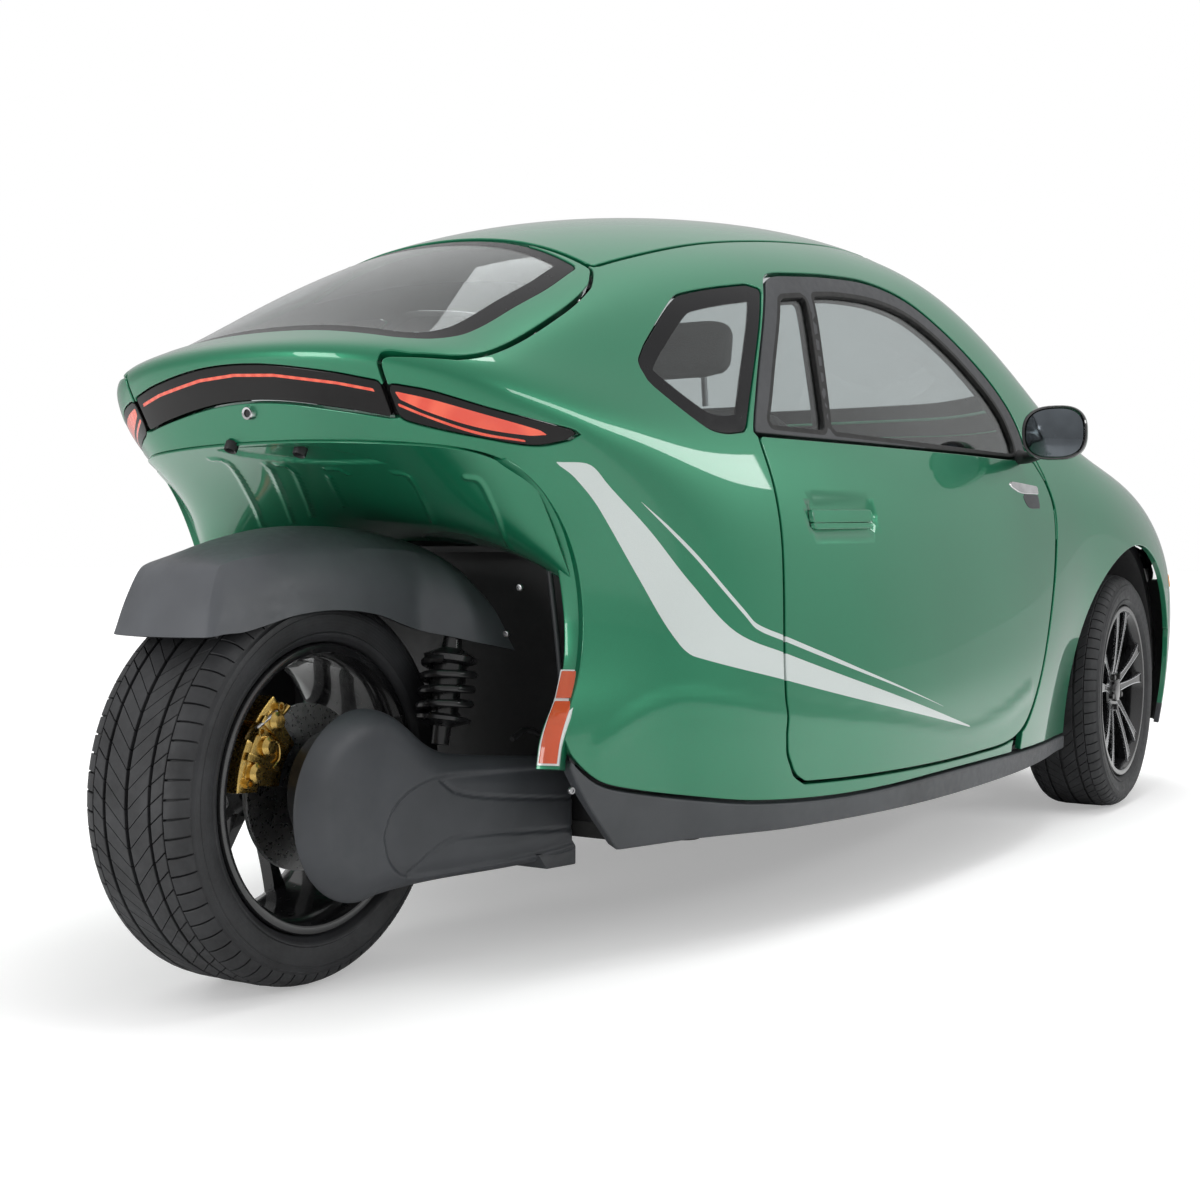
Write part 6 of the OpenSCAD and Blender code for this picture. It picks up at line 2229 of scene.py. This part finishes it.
@dataclass
class Mirror:
    """Outside mirror of one side."""

    side: Side
    finish: Finishes
    centre: Triple = (1.738, 0.772, 0.972)
    half: Pair = (0.077, 0.063)
    deep: float = 0.080

    def ring(self, x: float, scale: float, drop: float = 0.0) -> np.ndarray:
        """Rounded oblong around the housing.

        Args:
            x: How far forward of the rim it is.
            scale: Its size against the rim's.
            drop: How far its middle moves inwards.

        Returns:
            Points of the ring.
        """
        a = np.linspace(0, 2 * math.pi, 48, endpoint=False)
        c, s = np.cos(a), np.sin(a)
        y = np.sign(c) * np.abs(c) ** (2 / 2.7) * self.half[0] * scale
        z = np.sign(s) * np.abs(s) ** (2 / 2.7) * self.half[1] * scale
        y = y - 0.10 * y * (y > 0) - drop
        cx, cy, cz = self.centre
        return np.column_stack(
            [np.full(48, cx + x) + 0.10 * (y + drop), (cy + y) * self.side.value, cz + z])

    def rings(self, name: str, steps: Sequence[tuple[float, float, float]],
              mat: bpy.types.Material) -> bpy.types.Object:
        """Closed skin over a row of rings.

        Args:
            name: Name of the piece.
            steps: Place, size and shift of each ring.
            mat: Material.

        Returns:
            The new object.
        """
        pts = np.concatenate([self.ring(*s) for s in steps])
        k = len(steps)
        faces = [(i * 48 + j, i * 48 + (j + 1) % 48, (i + 1) * 48 + (j + 1) % 48, (i + 1) * 48 + j)
                 for i in range(k - 1) for j in range(48)]
        faces += [tuple(range(48)), tuple(range((k - 1) * 48, k * 48))]
        return tidy(solid(name, pts, faces, [mat]), 1e-7, 42)

    def build(self) -> None:
        """Makes the cap, the rim, the glass and the foot."""
        f, w = self.finish, self.side.word
        body = f"door_{w}"
        cap = [(0.004, 0.985, 0.0)]
        for t in np.linspace(0.02, 0.995, 14):
            cap.append((0.006 + self.deep * t, 0.985 * math.sqrt(1 - t ** 2.2), 0.014 * t))
        attach(self.rings(f"mirror_cap_{w}", cap, f.paint), body, "body_paint", f"mirror_{w}")
        rim = [(0.008, 0.97, 0.0), (0.003, 0.99, 0.0), (-0.003, 0.985, 0.0), (-0.006, 0.955, 0.0),
               (-0.004, 0.90, 0.0), (0.004, 0.885, 0.0)]
        attach(self.rings(f"mirror_rim_{w}", rim, f.piano), body, "gloss_black")
        glass = [(0.003, 0.875, 0.0), (-0.0015, 0.872, 0.0), (-0.0022, 0.85, 0.0)]
        attach(self.rings(f"mirror_glass_{w}", glass, f.mirror), body, "disc_steel")
        s = self.side.value
        foot = tube(f"mirror_foot_{w}",
                    [(1.772, 0.742 * s, 0.936), (1.795, 0.712 * s, 0.926), (1.812, 0.684 * s, 0.922),
                     (1.818, 0.660 * s, 0.924)], [0.013, 0.012, 0.014, 0.018], f.black, 16)
        attach(foot, body, "black_plastic")


@dataclass
class SideTrim:
    """Handles, blade trims and side markers of both sides."""

    finish: Finishes

    def piece(self, name: str, side: Side, shape: Field, mat: bpy.types.Material, proud: float,
              thick: float, span: tuple[float, float] = (4, 13)) -> bpy.types.Object:
        """Trim cut from the body's own surface.

        Args:
            name: Name of the piece.
            side: Side of the car.
            shape: Its outline.
            mat: Material.
            proud: How far it stands out.
            thick: How thick it is.
            span: Stations that it lies between.

        Returns:
            The new object.
        """
        rows = (1.0, 9.0) if side is Side.LEFT else (-9.0, -1.0)
        p = Patch(BODY, (*span, *rows), 1 / 22, 1 / 22).keep(common(shape, one_side(side, 0.3)))
        return p.shell(name, [mat], thick, -proud, 0.0028)

    def build(self) -> None:
        """Makes the pieces of both sides."""
        f = self.finish
        upper_bar = Outline([(808, 755), (1032, 760), (1032, 779), (808, 775)], Plane.SIDE, 0.009)
        lower_bar = Outline([(808, 743), (1032, 747), (1032, 754), (808, 750)], Plane.SIDE, 0.003)
        blade = Outline([(1728, 858), (1752, 861), (1890, 855), (1890, 840), (1790, 840), (1750, 849)],
                        Plane.SIDE, 0.003)
        field = Outline([(1798, 834), (1890, 834), (1890, 806), (1830, 806), (1812, 814)], Plane.SIDE,
                        0.004)
        for s in Side:
            body = f"door_{s.word}"
            for k, bar in enumerate((upper_bar, lower_bar)):
                attach(self.piece(f"door_grip_{k}_{s.word}", s, bar, f.paint, 0.0105, 0.008, (4, 9)), body,
                       "body_paint")
            attach(self.piece(f"blade_trim_{s.word}", s, blade, f.chrome, 0.0030, 0.004, (8, 13)), body,
                   "disc_steel")
            attach(self.piece(f"blade_field_{s.word}", s, field, f.charcoal, 0.0012, 0.003, (8, 13)), body,
                   "black_plastic")
            spot = disc((3.044, 0, 0.617), 0.017)
            attach(self.piece(f"side_marker_{s.word}", s, spot, f.amber, 0.0022, 0.004, (14, 19)),
                   "chassis", "amber")


@dataclass
class Front:
    """Headlamps and air intake."""

    finish: Finishes

    def build(self) -> None:
        """Makes the lenses, the lamps behind them, the slats and the wheel liners."""
        f = self.finish
        shape = common(wide(grown(LAMP, -0.001)), beyond(0, 2.7))
        lens = Patch(BODY, (13, 19, -10, 10), 1 / 20, 1 / 14).keep(shape)
        bowl = copy.copy(lens)
        attach(lens.shell("headlamp_lenses", [f.clear], 0.004, 0.001, 0.0008), "chassis", "lamp_clear",
               "headlamps")
        attach(bowl.shell("headlamp_bowls", [f.piano], 0.012, 0.030, 0.0), "chassis", "gloss_black")
        pts = BODY.points(bowl.uv)
        left = pts[pts[:, 1] > 0]
        mid = left.mean(0)
        low, high = left.min(0), left.max(0)
        lamps = []
        for s in Side:
            for k, t in enumerate((-0.26, 0.2)):
                at = mid + np.array([0.0, (high[1] - low[1]) * t, 0.0])
                near = left[np.argmin(np.linalg.norm(left[:, 1:] - at[1:], axis=1))]
                at = np.array([near[0] - 0.036, near[1] * s.value, near[2]])
                lamps.append(lathe(f"lamp_{k}_{s.word}",
                                   [(0.0, 0.016), (0.014, 0.013), (0.022, 0.004), (0.024, 0.006),
                                    (0.028, 0.006), (0.030, -0.012)], [f.chrome], tuple(at), (1, 0, 0), 40,
                                   closed=False))
        attach(merged("headlamp_units", lamps), "chassis", "disc_steel")
        grille = common(grown(GRILLE, 0.0), beyond(0, 3.1))
        back = Patch(BODY, (16, 19, -8, 8), 1 / 12, 1 / 10).keep(grille)
        attach(back.shell("intake_back", [f.black], 0.004, 0.026, 0.0), "chassis", "black_plastic")
        slats = []
        for k in range(5):
            z = 0.283 + 0.024 * k
            slat = Patch(BODY, (16, 19, -8, 8), 1 / 24, 1 / 12)
            slat.keep(common(grille, lambda p, z=z: np.abs(p[:, 2] - z) - 0.0045))
            slats.append(slat.shell(f"slat_{k}", [f.piano], 0.014, 0.006, 0.001))
        attach(merged("intake_slats", slats), "chassis", "gloss_black")
        cx, _, cz = FRONT_AXLE
        sweep = [math.radians(a) for a in range(4, 150, 6)]
        band = [(cx + r * math.cos(a), cz + r * math.sin(a)) for r,
                angles in ((ARCH_R + 0.040, sweep), (ARCH_R + 0.004, sweep[::-1])) for a in angles]
        bands = [slab(f"arch_band_{s.word}", band, Plane.SIDE, *sorted((0.470 * s.value, 0.694 * s.value)),
                      f.black, 0.002) for s in Side]
        attach(merged("arch_bands", bands), "chassis", "black_plastic")


# ---- cabin -------------------------------------------------------------------------
class Pad:
    """Crowned pad blown up by a cloth simulation, with sewn channels."""

    def __init__(self, name: str, size: Triple, mats: Sequence[bpy.types.Material],
                 cap: float = 0.024) -> None:
        """Keeps the pad's facts.

        Args:
            name: Name of the piece.
            size: Full size along its own axes.
            mats: Its cover.
            cap: How far a point may move.
        """
        self.name, self.size, self.mats, self.cap = name, np.array(size), list(mats), cap

    def form(self) -> bpy.types.Object:
        """Soft-cornered block, a little smaller than the pad."""
        bpy.ops.mesh.primitive_cube_add(size=1.0)
        obj = bpy.context.object
        obj.name = self.name
        bm = bmesh.new()
        bm.from_mesh(obj.data)
        bmesh.ops.subdivide_edges(bm, edges=bm.edges, cuts=9, use_grid_fill=True)
        half = self.size / 2 - 0.008
        for v in bm.verts:
            p = np.array(v.co) * 2
            r = (np.abs(p) ** 5).sum() ** (1 / 5)
            q = p / r * np.abs(p).max()
            pinch = 1 - 0.05 * (abs(q[0]) ** 2 + abs(q[1]) ** 2) / 2
            v.co = Vector((q[0] * half[0], q[1] * half[1], q[2] * half[2] * pinch))
        bm.to_mesh(obj.data)
        bm.free()
        return obj

    def blown(self) -> bpy.types.Object:
        """Form after remeshing and inflating."""
        obj = self.form()
        remesh = obj.modifiers.new("remesh", "REMESH")
        remesh.mode, remesh.voxel_size = "VOXEL", 0.0075
        bpy.ops.object.modifier_apply(modifier="remesh")
        before = np.array([v.co for v in obj.data.vertices])
        cloth = obj.modifiers.new("cloth", "CLOTH")
        cloth.settings.use_pressure = True
        cloth.settings.uniform_pressure_force = 4.0
        cloth.settings.quality = 3
        cloth.settings.tension_stiffness = 25
        cloth.settings.effector_weights.gravity = 0
        cloth.collision_settings.use_self_collision = False
        scene = bpy.context.scene
        for k in range(1, 15):
            scene.frame_set(k)
        done = obj.evaluated_get(bpy.context.evaluated_depsgraph_get())
        after = np.array([v.co for v in done.data.vertices])
        obj.modifiers.clear()
        scene.frame_set(1)
        move = after - before
        far = np.linalg.norm(move, axis=1, keepdims=True)
        before = before + move * np.minimum(1, self.cap / np.maximum(far, 1e-9))
        half = self.size / 2
        before = np.clip(before, -half, half)
        for v, p in zip(obj.data.vertices, before):
            v.co = Vector(p)
        return obj

    def place(self, corner: Triple, turn: float, channels: Sequence[tuple[int, float]]) -> bpy.types.Object:
        """Sews the channels and puts the pad in its place.

        Args:
            corner: Middle of the pad, from the rear axle.
            turn: Angle about y in degrees.
            channels: Axis and place of each sewn line on the pad's upper face.

        Returns:
            The finished pad.
        """
        obj = self.blown()
        co = np.array([v.co for v in obj.data.vertices])
        nor = np.array([v.normal for v in obj.data.vertices])
        for axis, place in channels:
            dip = 0.0075 * swell(np.abs(co[:, axis] - place), 0.013) * (nor[:, 2] > -0.2)
            co = co - nor * dip[:, None]
        belt = swell(np.abs(co[:, 2] - self.size[2] * 0.18), 0.006) * (np.abs(nor[:, 2]) < 0.6)
        co = co - nor * (0.0025 * belt)[:, None]
        a = math.radians(turn)
        spin = np.array([[math.cos(a), 0, math.sin(a)], [0, 1, 0], [-math.sin(a), 0, math.cos(a)]])
        co = co @ spin.T + np.array(corner) + SHIFT
        for v, p in zip(obj.data.vertices, co):
            v.co = Vector(p)
        obj.data.materials.clear()
        for m in self.mats:
            obj.data.materials.append(m)
        obj.data.polygons.foreach_set("use_smooth", np.ones(len(obj.data.polygons), bool))
        obj.data.update()
        return obj


@dataclass
class Seats:
    """Two seats with cushion, back and head rest."""

    finish: Finishes
    y: float = 0.285

    def build(self) -> None:
        """Makes the pads once and repeats them on the other side."""
        f = self.finish
        cushion = Pad("seat_cushion_left", (0.49, 0.425, 0.13), [f.seat_cloth]).place(
            (1.26, self.y, 0.402), -4, [(1, -0.13), (1, 0.13), (0, 0.12)])
        back = Pad("seat_back_left", (0.50, 0.40, 0.10), [f.seat_cloth]).place(
            (0.935, self.y, 0.755), 108, [(1, -0.115), (1, 0.115), (0, -0.10)])
        head = Pad("head_rest_left", (0.125, 0.24, 0.065), [f.seat_side], 0.012).place(
            (0.845, self.y, 1.095), 100, [])
        for piece, other in ((cushion, "seat_cushion_right"), (back, "seat_back_right"),
                             (head, "head_rest_right")):
            twin = mirrored_copy(piece, other)
            for o in (piece, twin):
                attach(o, "chassis", "trim_cloth", *(("seats",) if o is cushion else ()))
        for s in Side:
            y = s.value * self.y
            parts = [slab(f"base_{s.word}", [(1.02, 0.262), (1.50, 0.262), (1.49, 0.345), (1.03, 0.345)],
                          Plane.SIDE, y - 0.185, y + 0.185, f.trim, 0.012)]
            for k in (-1, 1):
                parts.append(slab(f"rail_{k}_{s.word}",
                                  [(0.98, 0.222), (1.54, 0.222), (1.54, 0.262), (0.98, 0.262)], Plane.SIDE,
                                  y + k * 0.15 - 0.012, y + k * 0.15 + 0.012, f.dark_steel, 0.003))
                parts.append(tube(f"post_{k}_{s.word}",
                                  [(0.858, y + k * 0.05, 0.985), (0.850, y + k * 0.05, 1.05)], 0.006,
                                  f.steel, 12))
            parts.append(slab(f"shell_{s.word}",
                              [(0.985, 0.47), (1.005, 0.475), (0.872, 0.985), (0.850, 0.975),
                               (0.945, 0.50)], Plane.SIDE, y - 0.175, y + 0.175, f.trim, 0.010))
            attach(merged(f"seat_frame_{s.word}", parts), "chassis", "soft_trim")


@dataclass
class Cabin:
    """Dash, wheel, door trims and floor coverings."""

    finish: Finishes

    def build(self) -> None:
        """Makes the cabin's hard and soft trim."""
        f = self.finish
        screen = slab("dash_screen", [(-0.10, 0.865), (0.16, 0.865), (0.16, 0.985), (-0.10, 0.985)],
                      Plane.END, 1.990, 2.002, f.indicator, 0.006)
        gauge = slab("gauge_panel", [(0.19, 0.865), (0.38, 0.865), (0.38, 0.945), (0.19, 0.945)], Plane.END,
                     1.985, 1.998, f.indicator, 0.006)
        vents = []
        for y in (-0.47, -0.20, 0.47):
            for k in range(4):
                z = 0.795 + 0.014 * k
                vents.append(slab(f"vane_{k}",
                                  [(y - 0.05, z), (y + 0.05, z), (y + 0.05, z + 0.006),
                                   (y - 0.05, z + 0.006)], Plane.END, 1.992, 2.010, f.piano, 0.0015))
        for piece in (screen, gauge, merged("dash_vents", vents)):
            attach(piece, "chassis", "gloss_black")
        a = math.radians(66)
        axis = (-math.sin(a), 0.0, math.cos(a))
        at = (1.900, 0.285, 0.790)
        boss = lathe("wheel_boss",
                     [(0.0, 0.026), (0.030, 0.025), (0.052, 0.019), (0.062, 0.008), (0.062, -0.004),
                      (0.05, -0.014), (0.0, -0.016)], [f.trim], at, axis, 48, closed=False)
        attach(boss, "steering_wheel", "soft_trim")
        column = tube("steering_column", [(1.925, 0.285, 0.779), (2.02, 0.285, 0.736)], 0.026, f.trim, 20)
        attach(column, "chassis", "soft_trim")
        for s in Side:
            y = s.value
            rest = slab(f"arm_rest_{s.word}",
                        [(1.12, 0.610), (1.62, 0.650), (1.66, 0.700), (1.60, 0.705), (1.12, 0.665)],
                        Plane.SIDE, *sorted((y * 0.545, y * 0.612)), f.seat_side, 0.012)
            attach(rest, f"door_{s.word}", "soft_trim")
            pull = tube(f"door_pull_{s.word}",
                        [(1.50, y * 0.598, 0.712), (1.52, y * 0.582, 0.735), (1.60, y * 0.582, 0.742),
                         (1.625, y * 0.598, 0.722)], 0.007, f.steel, 12)
            attach(pull, f"door_{s.word}", "disc_steel")
            mat = box(f"floor_mat_{s.word}", (1.56, min(y * 0.10, y * 0.50), 0.2185),
                      (2.02, max(y * 0.10, y * 0.50), 0.2245), f.carpet, 0.003)
            attach(mat, "chassis", "trim_cloth")
        shelf = slab("luggage_carpet",
                     [(0.16, -0.33), (0.30, -0.385), (0.78, -0.42), (0.78, 0.42), (0.30, 0.385),
                      (0.16, 0.33)], Plane.PLAN, 0.802, 0.812, f.carpet, 0.004)
        attach(shelf, "chassis", "trim_cloth")
        nodes = {"floor_tub": f.carpet, "wheelhouse": f.black, "dashboard": f.trim,
                 "steering_wheel": f.seat_side, "battery_block": f.cast, "front_liners": f.liner,
                 "front_subframe": f.dark_steel, "knuckle_left": f.cast, "knuckle_right": f.cast,}
        for name, mat in nodes.items():
            dress(bpy.data.objects[name], mat)


# ---- studio -------------------------------------------------------------------
@dataclass
class Studio:
    """Floor, light and camera."""

    eye: Triple = (-3.4886, -1.8675, 0.6965)
    yaw: float = 31.696
    pitch: float = -1.606
    lens: float = 49.5

    def camera(self) -> None:
        """Camera behind the car on its right."""
        data = bpy.data.cameras.new("camera")
        cam = bpy.data.objects.new("camera", data)
        bpy.context.scene.collection.objects.link(cam)
        cam.location = self.eye
        cam.rotation_euler = (math.radians(90 + self.pitch), 0, math.radians(self.yaw - 90))
        data.lens, data.sensor_width = self.lens, 36.0
        data.clip_start, data.clip_end = 0.05, 200
        bpy.context.scene.camera = cam

    def floor(self) -> None:
        """Pale floor that keeps the car's shadow."""
        mesh = bpy.data.meshes.new("floor")
        s = 60.0
        mesh.from_pydata([(-s, -s, 0), (s, -s, 0), (s, s, 0), (-s, s, 0)], [], [(0, 1, 2, 3)])
        obj = bpy.data.objects.new("floor", mesh)
        bpy.context.scene.collection.objects.link(obj)
        mat = bpy.data.materials.new("floor_white")
        mat.use_nodes = True
        t = mat.node_tree
        t.nodes.clear()
        out = t.nodes.new("ShaderNodeOutputMaterial")
        diffuse = t.nodes.new("ShaderNodeBsdfDiffuse")
        diffuse.inputs["Color"].default_value = (0.80, 0.80, 0.80, 1)
        glow = t.nodes.new("ShaderNodeEmission")
        path = t.nodes.new("ShaderNodeLightPath")
        amount = t.nodes.new("ShaderNodeMath")
        amount.operation = "MULTIPLY"
        seen = t.nodes.new("ShaderNodeMath")
        seen.operation = "MAXIMUM"
        t.links.new(path.outputs["Is Camera Ray"], seen.inputs[0])
        t.links.new(path.outputs["Is Transmission Ray"], seen.inputs[1])
        t.links.new(seen.outputs[0], amount.inputs[0])
        place = t.nodes.new("ShaderNodeTexCoord")
        length = t.nodes.new("ShaderNodeVectorMath")
        length.operation = "LENGTH"
        t.links.new(place.outputs["Object"], length.inputs[0])
        fade = t.nodes.new("ShaderNodeMapRange")
        fade.inputs["From Min"].default_value = 2.6
        fade.inputs["From Max"].default_value = 9.0
        fade.inputs["To Min"].default_value = 0.34
        fade.inputs["To Max"].default_value = 0.75
        t.links.new(length.outputs["Value"], fade.inputs["Value"])
        t.links.new(fade.outputs["Result"], amount.inputs[1])
        t.links.new(amount.outputs[0], glow.inputs["Strength"])
        add = t.nodes.new("ShaderNodeAddShader")
        t.links.new(diffuse.outputs[0], add.inputs[0])
        t.links.new(glow.outputs[0], add.inputs[1])
        t.links.new(add.outputs[0], out.inputs["Surface"])
        mesh.materials.append(mat)

    def world(self) -> None:
        """Soft grey surroundings that look white to the camera."""
        world = bpy.data.worlds.new("studio")
        world.use_nodes = True
        t = world.node_tree
        back = t.nodes["Background"]
        path = t.nodes.new("ShaderNodeLightPath")
        seen = t.nodes.new("ShaderNodeMath")
        seen.operation = "MAXIMUM"
        t.links.new(path.outputs["Is Camera Ray"], seen.inputs[0])
        t.links.new(path.outputs["Is Transmission Ray"], seen.inputs[1])
        place = t.nodes.new("ShaderNodeTexCoord")
        parts = t.nodes.new("ShaderNodeSeparateXYZ")
        t.links.new(place.outputs["Generated"], parts.inputs[0])
        ramp = t.nodes.new("ShaderNodeMapRange")
        ramp.inputs["From Min"].default_value = -0.1
        ramp.inputs["From Max"].default_value = 0.9
        ramp.inputs["To Min"].default_value = 0.42
        ramp.inputs["To Max"].default_value = 0.75
        t.links.new(parts.outputs["Z"], ramp.inputs["Value"])
        mix = t.nodes.new("ShaderNodeMix")
        t.links.new(seen.outputs[0], mix.inputs["Factor"])
        t.links.new(ramp.outputs["Result"], mix.inputs["A"])
        mix.inputs["B"].default_value = 1.0
        back.inputs["Color"].default_value = (1, 1, 1, 1)
        t.links.new(mix.outputs["Result"], back.inputs["Strength"])
        bpy.context.scene.world = world

    @staticmethod
    def lamp(name: str, at: Triple, aim: Triple, size: Pair, watts: float, mirrored: bool = True) -> None:
        """One soft box.

        Args:
            name: Name of the lamp.
            at: Its place in the frame.
            aim: Point that it looks at.
            size: Its width and height.
            watts: Its power.
            mirrored: Whether gloss shows it.
        """
        data = bpy.data.lights.new(name, "AREA")
        data.shape = "RECTANGLE"
        data.size, data.size_y = size
        data.energy = watts
        obj = bpy.data.objects.new(name, data)
        bpy.context.scene.collection.objects.link(obj)
        obj.location = at
        obj.visible_glossy = mirrored
        v = np.array(aim) - np.array(at)
        obj.rotation_euler = Vector(v).to_track_quat("-Z", "Y").to_euler()

    def build(self) -> None:
        """Sets up the studio."""
        bpy.context.scene.view_settings.view_transform = "Standard"
        self.camera()
        self.floor()
        self.world()
        self.lamp("top_box", (0.2, -0.3, 4.2), (0, 0, 0.6), (4.2, 2.2), 124, False)
        self.lamp("top_spot", (-0.2, -1.0, 4.0), (0, -0.3, 1.0), (1.1, 0.4), 9)
        self.lamp("rear_box", (-5.6, 1.4, 1.2), (-0.6, 0, 0.7), (1.2, 2.2), 55)
        self.lamp("side_strip", (1.2, -4.6, 2.3), (0.2, -0.5, 0.7), (4.5, 0.5), 45)
        self.lamp("far_box", (-1.0, 4.8, 2.6), (0, 0, 0.8), (4.0, 1.4), 50, False)


def main() -> None:
    """Builds the car piece by piece and sets up the studio."""
    logging.basicConfig(level=logging.INFO, format="%(message)s")
    finish = Finishes()
    Studio().build()
    PressedForms().build()
    PaintedBody(finish).build()
    Windows(finish).build()
    TailLights(finish).build()
    for side in Side:
        Door(side, finish).build()
        Mirror(side, finish).build()
    array = RingArray()
    RearWheel(finish, array).build()
    for side in Side:
        FrontCorner(side, finish, array).build()
    for part in (ArmCover, Fender, Shock, Caliper, TailDetails, SideTrim, Front, Seats, Cabin):
        part(finish).build()


if __name__ == "__main__":
    main()
